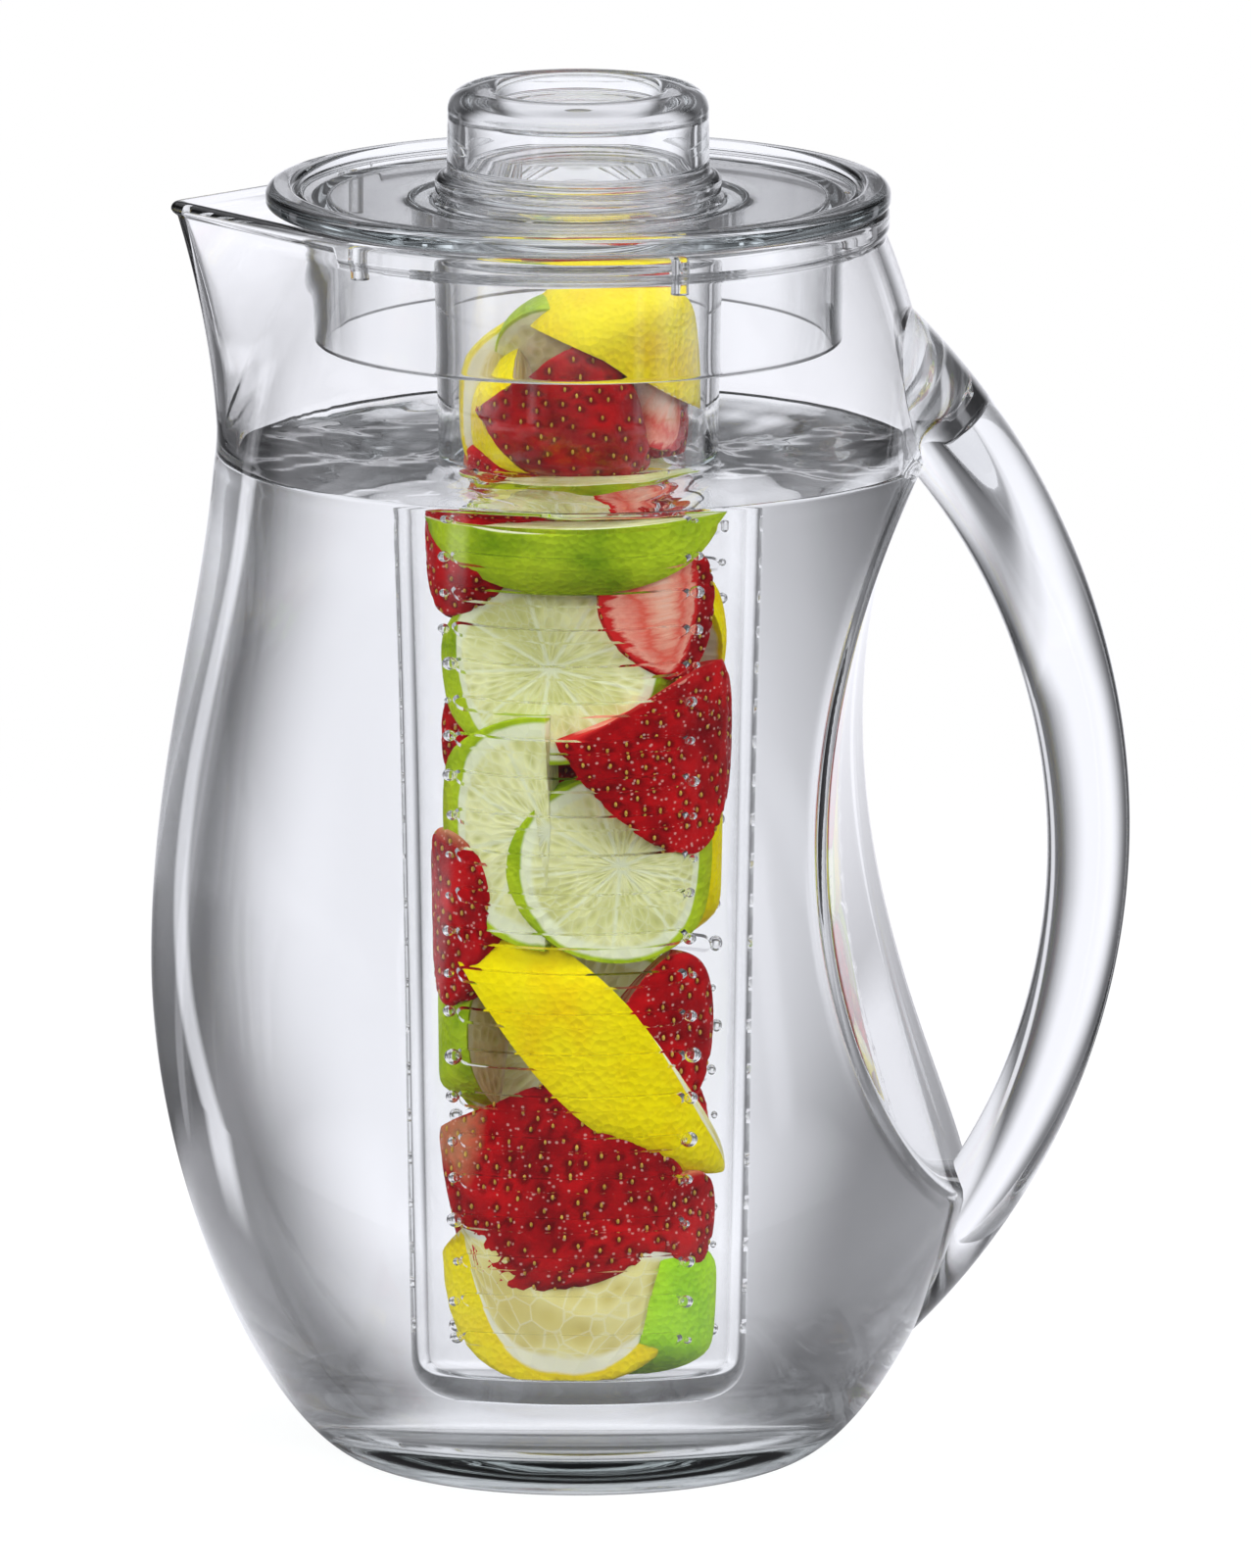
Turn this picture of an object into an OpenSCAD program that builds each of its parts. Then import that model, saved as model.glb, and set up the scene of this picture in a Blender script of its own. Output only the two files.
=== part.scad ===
// Fruit infuser pitcher: clear acrylic body with a bonded loop handle, a drop-in lid,
// and a slotted infuser tube that hangs from the lid by a screwed knob.
// Millimetres. +Z is up, +X points to the handle, the spout points to -X.
// The origin is the middle of the flat foot that stands on the table.

/* [Pitcher body] */
// Height of the rim above the table
rim_z = 244; // [225:1:265]
// Radius of the flat foot
foot_r = 40.8; // [34:0.2:46]
// Largest outer radius of the belly
belly_r = 82.4; // [78:0.2:88]
// Height of the widest place of the belly
belly_z = 97; // [88:1:108]
// Outer radius at the shoulder, where the neck begins
shoulder_r = 70.4; // [68:0.2:73]
// Height of the shoulder
shoulder_z = 190; // [184:1:196]
// Thickness of the side wall
wall = 3.4; // [2.4:0.1:4]
// Thickness of the solid base under the drink
floor_t = 12; // [8:0.5:14]
// Outer radius of the rim band
rim_r = 59.7; // [58.7:0.1:60.4]
// Height of the rim band
rim_h = 5; // [4:0.5:8]
// Width of the flat top of the rim, from the mouth to the outside
rim_w = 4.9; // [4.2:0.1:5.2]

/* [Spout] */
// Reach of the spout from the middle of the pitcher
spout_reach = 78.8; // [76:0.2:84]
// Height at which the spout leaves the neck
spout_start_z = 197; // [190:1:204]
// Outer radius of the tip of the spout, seen from above
spout_tip_r = 3.4; // [2.8:0.1:5]
// Wall of the spout
spout_wall = 2.6; // [1.8:0.1:2.7]

/* [Hand scoop] */
// Radius of the hollow that makes room for the fingers
scoop_r = 141.7; // [125:1:160]
// Wall left between the scoop and the middle plane of the body
scoop_face_x = 51.6; // [48:0.2:58]
// Height of the middle of the scoop
scoop_z = 132; // [126:1:138]

/* [Handle] */
// Outer reach of the handle from the middle of the pitcher
handle_reach = 106.3; // [104:0.2:112]
// Thickness of the handle bar at its middle
handle_t = 15.9; // [12:0.5:17]
// Radius of the handle's middle line
handle_r = 128.5; // [126:0.5:131]
// Height of the middle of the handle's arc
handle_z = 122; // [118:1:126]
// Width of the bar at its middle
handle_w = 23; // [18:0.5:26]
// Width of the bar where it is bonded under the rim
handle_top_w = 41; // [34:0.5:44]
// Width of the bar where it is bonded low on the belly
handle_foot_w = 19; // [16:0.5:24]

/* [Lid] */
// How far the lid stands out over the rim
lid_over = 0.3; // [0:0.1:2]
// Height of the raised bead round the lid
bead_h = 3.9; // [3.4:0.1:5]
// Width of the bead
bead_w = 6; // [5.4:0.2:8]
// Thickness of the flat of the lid
lid_t = 3; // [2.6:0.1:3.2]
// Gap between the mouth and the skirt that hangs in it, which the pegs fill
skirt_gap = 4.1; // [4:0.1:6]
// Wall of the skirt
skirt_wall = 2.4; // [1.6:0.1:3]
// Depth of the skirt below the flat of the lid
skirt_h = 25.4; // [18:0.2:30]
// Wall of the collar under the lid, round the tube
collar_wall = 4; // [3:0.2:8]
// Depth of the collar
collar_h = 7.4; // [6:0.2:12]
// Number of centring pegs round the skirt
peg_n = 5; // [3:1:8]
// Radius of one peg
peg_r = 1.7; // [1.2:0.1:1.7]
// Length of a peg below the flat of the lid
peg_l = 8.2; // [5:0.2:12]

/* [Knob] */
// How far the side of the knob stands in from the side of the tube
knob_in = 2.5; // [1.7:0.1:3.1]
// Height of the knob above its seat
knob_h = 20.3; // [18:0.1:24]
// Wall of the knob
knob_wall = 3.6; // [3:0.1:4]
// Radius of the dished finger recess in its top
dish_r = 15.6; // [13:0.2:16]
// Depth of the finger recess
dish_h = 4.2; // [3:0.1:5.5]
// Thickness of the floor of the recess
dish_t = 2.6; // [2:0.1:3]
// How far the flange that sits on the lid stands in from the side of the tube
flange_in = 0.2; // [0:0.1:0.7]
// Height of that flange
flange_h = 3.6; // [3:0.1:4.2]

/* [Infuser] */
// Outer radius of the tube below the lid
tube_r = 27.7; // [27:0.1:28.6]
// Outer radius of the tube at its lower end
tube_end_r = 23.6; // [22.5:0.1:25]
// Wall of the tube
tube_wall = 2.5; // [2:0.1:3]
// Height of the underside of the tube above the table
tube_z = 20.5; // [19:0.5:26]
// Thickness of the tube's bottom
tube_floor = 5; // [3:0.5:7]
// Width of the shoulder that stops the tube under the lid
shoulder_w = 5.3; // [5.1:0.1:5.5]
// Height of the neck above the shoulder of the tube
neck_h = 8.8; // [8.4:0.1:9]
// Number of slot rows
slot_n = 23; // [12:1:25]
// Height between two slot rows
slot_pitch = 7.3; // [6:0.1:7.6]
// Height of one slot
slot_h = 2.6; // [1.6:0.1:3.2]
// Height of the lowest slot above the table
slot_z = 33.5; // [32:0.5:40]
// Half angle that a slot spans on the front and on the back
slot_half_deg = 44; // [30:1:50]

/* [Thread] */
// Rise of the thread in one turn
pitch = 2.4; // [2.2:0.1:3]
// Depth of the thread ridge
thread_h = 1.3; // [1:0.05:1.4]

/* [Fits] */
// Gap between a moving piece and what it rests on or passes
gap = 0.3; // [0.3:0.05:0.4]

/* [Hidden] */
$fn = 96;
eps = 0.01;

// Points of a cubic curve from a to d, with b and c as its controls
function curve(a, b, c, d, n) = [for (i = [0 : n]) let (t = i / n, s = 1 - t)
    a * s * s * s + b * 3 * s * s * t + c * 3 * s * t * t + d * t * t * t];
// Points of an arc round c, from angle a0 to a1
function arc(c, r, a0, a1, n) = [for (i = [0 : n]) let (a = a0 + (a1 - a0) * i / n)
    [c[0] + r * cos(a), c[1] + r * sin(a)]];
function mix(a, b, t) = a + (b - a) * t;
function ease(t) = let (u = min(1, max(0, t))) u * u * (3 - 2 * u);
// A list without its last point, so that two curves join without a doubled point
function but_last(p) = [for (i = [0 : len(p) - 2]) p[i]];

// ---- Pitcher body ----
rim_low_z = rim_z - rim_h;
rim_step = 0.9;
neck_top_r = rim_r - rim_step;
mouth_r = rim_r - rim_w;
rim_round = 1.4;
// Shares of a side's height or width at which its curve's controls stand
foot_share = 0.4;
bowl_share = 0.52;
belly_share = 0.39;
shoulder_share = 0.32;
neck_low_share = 0.37;
neck_high_share = 0.29;
shoulder_lean = 0.10;
neck_lean = 0.42;
belly_h = shoulder_z - belly_z;
neck_side_h = rim_low_z - shoulder_z;

// Curve of the neck, from the shoulder to the rim band, set in by inset
function neck_curve(inset) = let (
        low = neck_low_share * neck_side_h,
        high = neck_high_share * neck_side_h)
    curve([shoulder_r - inset, shoulder_z],
        [shoulder_r - inset - shoulder_lean * low, shoulder_z + low],
        [neck_top_r - inset + neck_lean * high, rim_low_z - high],
        [neck_top_r - inset, rim_low_z], 8);

// Side of the body from the foot up to the rim band, set in by inset
function side(inset, base_r, base_z) = let (
        waist = shoulder_share * belly_h)
    concat(
        but_last(curve([base_r, base_z],
            [base_r + foot_share * (belly_r - foot_r), base_z],
            [belly_r - inset, belly_z * bowl_share], [belly_r - inset, belly_z], 12)),
        but_last(curve([belly_r - inset, belly_z],
            [belly_r - inset, belly_z + belly_share * belly_h],
            [shoulder_r - inset + shoulder_lean * waist, shoulder_z - waist],
            [shoulder_r - inset, shoulder_z], 10)),
        neck_curve(inset));

function outer_profile() = concat([[0, 0]], side(0, foot_r, 0),
    [[rim_r, rim_low_z + rim_step], [rim_r, rim_z - rim_round]],
    arc([rim_r - rim_round, rim_z - rim_round], rim_round, 15, 90, 5), [[0, rim_z]]);

inner_floor_in = 2;
inner_floor_r = foot_r - inner_floor_in;
function inner_profile() = concat([[0, floor_t]], side(wall, inner_floor_r, floor_t),
    [[mouth_r, rim_z - rim_h / 2], [mouth_r, rim_z + 1], [0, rim_z + 1]]);

// Outer radius of the neck at height z
function neck_radius(z) = lookup(z, [for (p = neck_curve(0)) [p[1], p[0]]]);

// One level of the spout wedge: a rounded tip and two flanks that run back into the neck
function spout_level(z, reach, tip_r, round_r) = let (
        c = reach - tip_r,
        phi = acos(min(0.98, (round_r - tip_r) / c)))
    concat(
        [[0, -round_r * sin(phi) * 0.9, z], [-round_r * cos(phi), -round_r * sin(phi), z]],
        [for (i = [-4 : 4]) let (a = 180 - phi * i / 4)
            [-c + tip_r * cos(a), tip_r * sin(a), z]],
        [[-round_r * cos(phi), round_r * sin(phi), z], [0, round_r * sin(phi) * 0.9, z]]);

// Closed solid through a list of rings that all have the same number of points
module loft(rings) {
    n = len(rings[0]);
    m = len(rings);
    points = [for (r = rings) for (p = r) p];
    sides = [for (i = [0 : m - 2]) for (j = [0 : n - 1]) for (k = [0, 1]) let (
            a = i * n + j, b = i * n + (j + 1) % n, c = a + n, d = b + n)
        k == 0 ? [a, b, d] : [a, d, c]];
    ends = [[for (j = [n - 1 : -1 : 0]) j], [for (j = [0 : n - 1]) (m - 1) * n + j]];
    polyhedron(points = points, faces = concat(sides, ends), convexity = 6);
}

spout_top_z = rim_z;
spout_levels = 12;
spout_bury = 1.6;
// Tip radius where the spout leaves the neck, and how fast the tip draws in and reaches out
spout_root_r = 40;
tip_power = 0.8;
reach_power = 1.7;
module spout_wedge(inset, top_z) {
    rings = [for (i = [0 : spout_levels]) let (
            t = i / spout_levels,
            z = mix(spout_start_z, spout_top_z, t),
            r = neck_radius(z),
            reach = mix(neck_radius(spout_start_z) - spout_bury, spout_reach,
                pow(t, reach_power)) - inset,
            tip = mix(spout_root_r, spout_tip_r, pow(t, tip_power)) - inset)
        spout_level(z, reach, tip, r - spout_bury - inset)];
    last = rings[spout_levels];
    loft(concat(rings, top_z > spout_top_z ? [[for (p = last) [p[0], p[1], top_z]]] : []));
}

module turned_outside() {
    difference() {
        rotate_extrude() polygon(outer_profile());
        scoop(0);
    }
}

module body_outside() {
    turned_outside();
    spout_wedge(0, spout_top_z);
}

module body_inside() {
    difference() {
        rotate_extrude() polygon(inner_profile());
        scoop(wall);
    }
    spout_wedge(spout_wall, spout_top_z + 1);
}

module scoop(extra) {
    translate([scoop_face_x + scoop_r, 0, scoop_z])
        rotate([90, 0, 0]) cylinder(r = scoop_r + extra, h = 4 * belly_r, center = true);
}

module pitcher_body() {
    color("lightcyan") difference() {
        body_outside();
        body_inside();
    }
}

// ---- Handle ----
handle_x = handle_reach - handle_t / 2 - handle_r;
// Heights at which the bar's middle line ends inside the body's outline
handle_top_z = rim_low_z - 9;
handle_low_z = floor_t + 2;
handle_high_deg = asin((handle_top_z - handle_z) / handle_r);
handle_low_deg = asin((handle_low_z - handle_z) / handle_r);
// The bar thickens to both ends, more to the top, and flares where it is bonded
handle_swell = 0.434;
handle_lean = 0.25;
flare_from_deg = 12;
slim_from_deg = 5;
flare_over_deg = 30;
handle_rings = 36;
handle_sides = 20;
module handle_bar() {
    rings = [for (i = [0 : handle_rings]) let (
            a = mix(handle_low_deg, handle_high_deg, i / handle_rings),
            t = handle_t * (1 + handle_swell * (1 - cos(a)) + handle_lean * sin(a)),
            w = handle_w
                + (handle_top_w - handle_w) * ease((a - flare_from_deg) / flare_over_deg)
                + (handle_foot_w - handle_w) * ease((-a - slim_from_deg) / flare_over_deg))
        [for (j = [0 : handle_sides - 1]) let (
                b = 360 * j / handle_sides,
                r = handle_r + t / 2 * cos(b))
            [handle_x + r * cos(a), -w / 2 * sin(b), handle_z + r * sin(a)]]];
    loft(rings);
}

module handle() {
    color("azure") difference() {
        handle_bar();
        turned_outside();
    }
}

// ---- Lid ----
lid_z = rim_z + gap;
lid_r = rim_r + lid_over;
skirt_r = mouth_r - skirt_gap;
bead_rise = 1.8;
bead_in_round = 1.6;
bead_out_round = 2;
bead_foot_round = 0.9;
lid_step = 1.2;
disc_top_z = lid_z + bead_h - bead_rise;
disc_low_z = disc_top_z - lid_t;
bead_in_r = lid_r - bead_w;
skirt_low_z = disc_low_z - skirt_h;
neck_r = tube_r - shoulder_w;
hole_r = neck_r + thread_h + gap;
sleeve_r = tube_r + gap;
collar_r = sleeve_r + collar_wall;
peg_ring_r = (skirt_r + mouth_r) / 2;
peg_first_deg = -137;
module lid() {
    top_z = lid_z + bead_h;
    color("lightblue") union() {
        rotate_extrude() polygon(concat(
            [[hole_r, disc_low_z], [hole_r, disc_top_z], [bead_in_r - 0.4, disc_top_z]],
            arc([bead_in_r + bead_in_round, top_z - bead_in_round], bead_in_round, 180, 90, 5),
            arc([lid_r - bead_out_round, top_z - bead_out_round], bead_out_round, 90, 0, 6),
            arc([lid_r - bead_foot_round, lid_z + bead_foot_round], bead_foot_round, 0, -90, 4),
            [[mouth_r - lid_step, lid_z], [mouth_r - lid_step, disc_low_z],
             [skirt_r, disc_low_z], [skirt_r, skirt_low_z],
             [skirt_r - skirt_wall, skirt_low_z], [skirt_r - skirt_wall, disc_low_z],
             [collar_r, disc_low_z], [collar_r, disc_low_z - collar_h],
             [sleeve_r, disc_low_z - collar_h], [sleeve_r, disc_low_z]]));
        for (i = [0 : peg_n - 1])
            rotate([0, 0, peg_first_deg + i * 360 / peg_n])
                translate([peg_ring_r, 0, disc_low_z - peg_l])
                    cylinder(r = peg_r, h = peg_l + lid_t / 2);
    }
}

// ---- Thread, one helical ridge that fades in and out of its wall ----
thread_steps = 40;
fade_steps = 6;
ridge_w = 0.9;
ridge_bite = 0.5;
module thread(root_r, crest_r, z0) {
    n = floor(turns * thread_steps);
    bite = root_r < crest_r ? -ridge_bite : ridge_bite;
    rings = [for (i = [0 : n]) let (
            a = 360 * i / thread_steps,
            z = z0 + pitch * i / thread_steps,
            crest = mix(root_r, crest_r, max(0.04, ease(min(i, n - i) / fade_steps))),
            half = ridge_w / 2,
            section = [[root_r + bite, z - half], [crest, z - half * 0.5],
                [crest, z + half * 0.5], [root_r + bite, z + half]])
        [for (p = root_r < crest_r ? section : [section[3], section[2], section[1], section[0]])
            [p[0] * cos(a), p[0] * sin(a), p[1]]]];
    loft(rings);
}

// ---- Knob ----
knob_z = disc_top_z + gap;
knob_top_z = knob_z + knob_h;
knob_r = tube_r - knob_in;
flange_r = tube_r - flange_in;
knob_round = 4.4;
flange_round = 1.2;
dish_edge_round = 2;
edge_chamfer = 0.5;
thread_r = hole_r;
shoulder_top_z = disc_low_z - gap;
neck_top_z = shoulder_top_z + neck_h;
cavity_z = neck_top_z + gap;
thread_z = knob_z + ridge_w;
turns = (neck_top_z - thread_z - ridge_w) / pitch;
module knob() {
    ceiling_z = knob_top_z - knob_wall;
    dish_z = knob_top_z - dish_h;
    cavity_r = knob_r - knob_wall;
    color("powderblue") union() {
        rotate_extrude() polygon(concat(
            [[thread_r, knob_z], [flange_r - edge_chamfer, knob_z],
             [flange_r, knob_z + edge_chamfer]],
            arc([flange_r - flange_round, knob_z + flange_h - flange_round], flange_round, 0, 70, 4),
            [[knob_r, knob_z + flange_h + flange_round]],
            arc([knob_r - knob_round, knob_top_z - knob_round], knob_round, 0, 90, 8),
            arc([dish_r + dish_edge_round, knob_top_z - dish_edge_round], dish_edge_round,
                90, 170, 6),
            arc([dish_r - 1.5 * dish_edge_round, dish_z + dish_edge_round], dish_edge_round,
                -10, -90, 4),
            [[0, dish_z], [0, dish_z - dish_t]],
            arc([dish_r - dish_edge_round, dish_z - dish_t + dish_edge_round], dish_edge_round,
                -90, 0, 4),
            [[dish_r + 0.3 * dish_edge_round, ceiling_z]],
            arc([cavity_r - dish_edge_round, ceiling_z - dish_edge_round], dish_edge_round,
                90, 0, 4),
            [[cavity_r, cavity_z], [thread_r, cavity_z]]));
        thread(thread_r, neck_r + gap, thread_z + pitch / 2);
    }
}

// ---- Infuser tube ----
tube_len = shoulder_top_z - tube_z;
tube_round = 7;
function tube_radius(z) = mix(tube_end_r, tube_r, (z - tube_z) / tube_len);
bore_r = neck_r - tube_wall;
neck_blend = 5;
straight_h = 10;
floor_round = 3;
gate_r = 3;
gate_depth = 0.8;
module infuser_tube() {
    color("lavender") difference() {
        union() {
            rotate_extrude() polygon(concat(
                [[0, tube_z]],
                arc([tube_end_r - tube_round, tube_z + tube_round], tube_round, -90, -4, 7),
                [[tube_r, shoulder_top_z - straight_h], [tube_r, shoulder_top_z],
                 [neck_r, shoulder_top_z], [neck_r, neck_top_z - edge_chamfer],
                 [neck_r - edge_chamfer, neck_top_z], [bore_r, neck_top_z],
                 [bore_r, shoulder_top_z - tube_wall],
                 [tube_r - tube_wall, shoulder_top_z - tube_wall - neck_blend]],
                arc([tube_end_r - tube_wall - floor_round, tube_z + tube_floor + floor_round],
                    floor_round, -4, -90, 4),
                [[0, tube_z + tube_floor]]));
            thread(neck_r, neck_r + thread_h, thread_z);
        }
        for (i = [0 : slot_n - 1])
            slot(slot_z + i * slot_pitch);
        translate([0, 0, tube_z - eps]) cylinder(r = gate_r, h = gate_depth);
    }
}

// One slot, through the front and the back wall, with round ends
module slot(z) {
    half = tube_radius(z) * sin(slot_half_deg) - slot_h / 2;
    for (s = [-1, 1])
        translate([s * half, 0, z])
            rotate([90, 0, 0]) cylinder(r = slot_h / 2, h = 3 * tube_r, center = true);
    translate([0, 0, z]) cube([2 * half, 3 * tube_r, slot_h], center = true);
}

pitcher_body();
handle();
lid();
knob();
infuser_tube();
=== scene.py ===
import math

import bmesh
import bpy
import numpy as np
from mathutils import Matrix, Vector


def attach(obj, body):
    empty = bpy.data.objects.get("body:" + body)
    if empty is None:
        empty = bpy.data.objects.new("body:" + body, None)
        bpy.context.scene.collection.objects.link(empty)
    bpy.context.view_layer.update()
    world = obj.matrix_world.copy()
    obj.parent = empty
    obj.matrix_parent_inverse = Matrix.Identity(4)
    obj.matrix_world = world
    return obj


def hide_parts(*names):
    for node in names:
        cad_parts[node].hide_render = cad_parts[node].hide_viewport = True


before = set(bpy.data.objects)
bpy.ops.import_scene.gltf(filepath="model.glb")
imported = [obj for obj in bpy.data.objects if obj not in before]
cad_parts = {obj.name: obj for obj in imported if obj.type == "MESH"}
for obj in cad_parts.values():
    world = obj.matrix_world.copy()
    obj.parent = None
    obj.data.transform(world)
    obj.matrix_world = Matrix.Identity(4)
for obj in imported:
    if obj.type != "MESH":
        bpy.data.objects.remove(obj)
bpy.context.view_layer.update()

# ---------------------------------------------------------------------------
# Pitcher body: one clear acrylic moulding, blown round, with a drawn-out spout and a
# hollow pressed into its handle side for the fingers. Wall 3.4 mm, solid base 12 mm,
# a rounded rim band round the mouth that thins to a lip along the spout.
MM = 0.001
RIM_Z, BAND_H, BAND_STEP, RIM_OUT_ROUND, RIM_IN_ROUND = 244.0, 5.0, 0.9, 1.4, 1.2
BELLY_R, BELLY_Z, SHOULDER_R, SHOULDER_Z = 82.4, 97.0, 70.4, 190.0
FOOT_R, WALL, BASE_T, NECK_TOP_R, MOUTH_R = 40.8, 3.4, 12.0, 58.8, 54.8
SCOOP_R, SCOOP_X, SCOOP_Z, SCOOP_ROUND = 141.7, 193.3, 132.0, 2.4
SPOUT_Z, SPOUT_REACH, SPOUT_TIP, SPOUT_WALL, SPOUT_ROUND = 197.0, 77.9, 2.6, 2.6, 0.5
SPOUT_SWEEP, TIP_SHARPENING, TIP_OPENING, SPOUT_INSIDE_NECK = 1.7, 1.6, 55.0, 0.2
LIP_H, LIP_FROM, LIP_RUN, THINNING_RUN = 2.8, 42.2, 1.2, 15.0
FOOT_RINGS, FLOOR_RINGS = (6.0, 16.0, 26.0, 34.0, 38.5), (36.0, 30.0, 22.0, 12.0, 5.0)
MOUTH_LEVELS, MOUTH_OPENING, MOUTH_RUN = (242.3, 241.5, 240.6, 239.8), 0.6, 3.0
SCOOP_SPAN, SCOOP_LEAST = math.radians(100), math.radians(13)
# How far each stretch of the side keeps its way at its ends, in shares of its height.
FOOT_RUN, UNDER_BELLY, OVER_BELLY, WAIST_RUN, NECK_RUN, NECK_END_RUN = 0.4, 0.52, 0.39, 0.32, 0.37, 0.29
SHOULDER_LEAN, NECK_LEAN = 0.1, 0.42


def cubic(a, b, c, d, n):
    """Points of a curve from a to d that leaves towards b and arrives from c."""
    t = np.linspace(0, 1, n + 1)[:, None]
    s = 1 - t
    a, b, c, d = (np.array(p, float) for p in (a, b, c, d))
    return a * s ** 3 + 3 * b * s * s * t + 3 * c * s * t * t + d * t ** 3


def side_curve(inset, base_r, base_z, n=64):
    """Profile of the side from the foot to the rim band, as rows of radius and height."""
    low = RIM_Z - BAND_H
    belly, shoulder, neck = BELLY_R - inset, SHOULDER_R - inset, NECK_TOP_R - inset
    waist = WAIST_RUN * (SHOULDER_Z - BELLY_Z)
    up, down = NECK_RUN * (low - SHOULDER_Z), NECK_END_RUN * (low - SHOULDER_Z)
    return np.concatenate([
        cubic([base_r, base_z], [base_r + FOOT_RUN * (BELLY_R - FOOT_R), base_z],
              [belly, BELLY_Z * UNDER_BELLY], [belly, BELLY_Z], n)[:-1],
        cubic([belly, BELLY_Z], [belly, BELLY_Z + OVER_BELLY * (SHOULDER_Z - BELLY_Z)],
              [shoulder + SHOULDER_LEAN * waist, SHOULDER_Z - waist], [shoulder, SHOULDER_Z],
              n * 3 // 4)[:-1],
        cubic([shoulder, SHOULDER_Z], [shoulder - SHOULDER_LEAN * up, SHOULDER_Z + up],
              [neck + NECK_LEAN * down, low - down], [neck, low], n * 3 // 4)])


NECK = side_curve(0, FOOT_R, 0.0, 200)


def skin_r(z):
    return np.interp(z, NECK[:, 1], NECK[:, 0])


def step(x):
    x = np.clip(x, 0, 1)
    return x * x * (3 - 2 * x)


def soft_min(a, b, k):
    """The lesser of two values, rounded over where they come within k of one another."""
    h = np.maximum(k - np.abs(a - b), 0) / k
    return np.minimum(a, b) - h * h * k / 4


def soft_max(a, b, k):
    return -soft_min(-a, -b, k)


def spout_radius(psi, z, inset):
    """Reach of the spout at an angle from its middle plane, as seen from above."""
    t = np.clip((z - SPOUT_Z) / (RIM_Z - SPOUT_Z), 0, 1)
    neck = skin_r(z) - SPOUT_INSIDE_NECK - inset
    start = skin_r(SPOUT_Z) - SPOUT_INSIDE_NECK
    reach = start + (SPOUT_REACH - start) * t ** SPOUT_SWEEP - inset
    tip = np.maximum(SPOUT_TIP + TIP_OPENING * (1 - t) ** TIP_SHARPENING - inset, 0.8)
    c = np.maximum(reach - tip, 1)
    phi = np.arccos(np.clip((neck - tip) / c, -1, 1))
    flank = neck / np.cos(np.clip(psi - phi, -1.3, 0))
    nose = c * np.cos(psi) + np.sqrt(np.maximum(tip ** 2 - (c * np.sin(psi)) ** 2, 0))
    turn = np.arctan2(tip * np.sin(phi), c + tip * np.cos(phi))
    return np.where(psi >= phi, neck, np.where(psi > turn, flank, nose))


def from_spout(theta):
    return np.abs(math.pi - np.abs(theta))


def body_radius(theta, r, z, inset):
    """Radius of the body's skin at angles theta for one ring of radius r and height z."""
    out = np.full_like(theta, r)
    q = (SCOOP_R + inset) ** 2 - (z - SCOOP_Z) ** 2
    if q > 0:
        face = SCOOP_X - math.sqrt(q)
        out = soft_min(out, face / np.maximum(np.cos(theta), 1e-3), SCOOP_ROUND)
    if z > SPOUT_Z:
        out = soft_max(out, spout_radius(from_spout(theta), z, inset), SPOUT_ROUND)
    return out


def column_angles(z):
    """Angles of a ring's points at a height. One of them follows the edge of the scoop, and
    they lie closer together where the spout leaves the neck and round its tip."""
    q = SCOOP_R ** 2 - (z - SCOOP_Z) ** 2
    face = SCOOP_X - math.sqrt(q) if q > 0 else math.inf
    edge = math.hypot(math.acos(min(face / skin_r(z), 1.0)), SCOOP_LEAST)
    in_scoop = edge * (1 - (1 - np.linspace(0, 1, 25)) ** 2.0)
    beside = edge + (SCOOP_SPAN - edge) * np.linspace(0, 1, 37)[1:] ** 1.7
    at_spout = np.radians(np.concatenate([
        np.arange(102, 131, 2.0), np.arange(132, 136.1, 1.0), np.arange(136.4, 139.7, 0.3),
        np.arange(140.5, 173, 1.6), np.arange(173.5, 178, 0.5), np.arange(178, 180.01, 0.25)]))
    half = np.concatenate([in_scoop, beside, at_spout])
    return np.concatenate([-half[::-1][:-1], half[:-1]])


def ring(r, theta, z):
    return np.stack([r * np.cos(theta), r * np.sin(theta), np.full_like(theta, z)], 1)


def round_ring(r, z):
    return ring(r, column_angles(0.0), z)


def skin_ring(r, z, inset):
    """The body's outline at a height, set in from the outer skin."""
    theta = column_angles(z)
    return ring(body_radius(theta, r, z, inset), theta, z)


def band_step(row):
    """Sets the rim band out from the neck, and the thinner lip out from the spout."""
    off = np.degrees(from_spout(np.arctan2(row[:, 1], row[:, 0])))
    h = LIP_H + (BAND_H - LIP_H) * step((off - LIP_FROM) / LIP_RUN)
    bump = BAND_STEP * step(row[:, 2] - (RIM_Z - h))
    return row * (1 + bump / np.hypot(row[:, 0], row[:, 1]))[:, None] * [1, 1, 0] + row * [0, 0, 1]


def rounded(edge, inwards, radius, angles):
    """Rings that turn an edge over at the rim, from its side to its top or back down."""
    return [edge + inwards * radius * (1 - math.cos(a)) + [0, 0, RIM_Z - radius + radius * math.sin(a)]
            for a in np.radians(angles)]


def outward(mesh, weld=True):
    """Makes doubled points one, turns every face outwards and shades them all smooth."""
    bm = bmesh.new()
    bm.from_mesh(mesh)
    if weld:
        bmesh.ops.remove_doubles(bm, verts=bm.verts, dist=1e-7)
        bmesh.ops.dissolve_degenerate(bm, edges=bm.edges, dist=1e-7)
    bmesh.ops.recalc_face_normals(bm, faces=bm.faces)
    bm.to_mesh(mesh)
    bm.free()
    mesh.polygons.foreach_set("use_smooth", [True] * len(mesh.polygons))


def shown(name, data):
    """A new object for a mesh, a lamp or a camera."""
    ob = bpy.data.objects.new(name, data)
    bpy.context.collection.objects.link(ob)
    return ob


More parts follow.
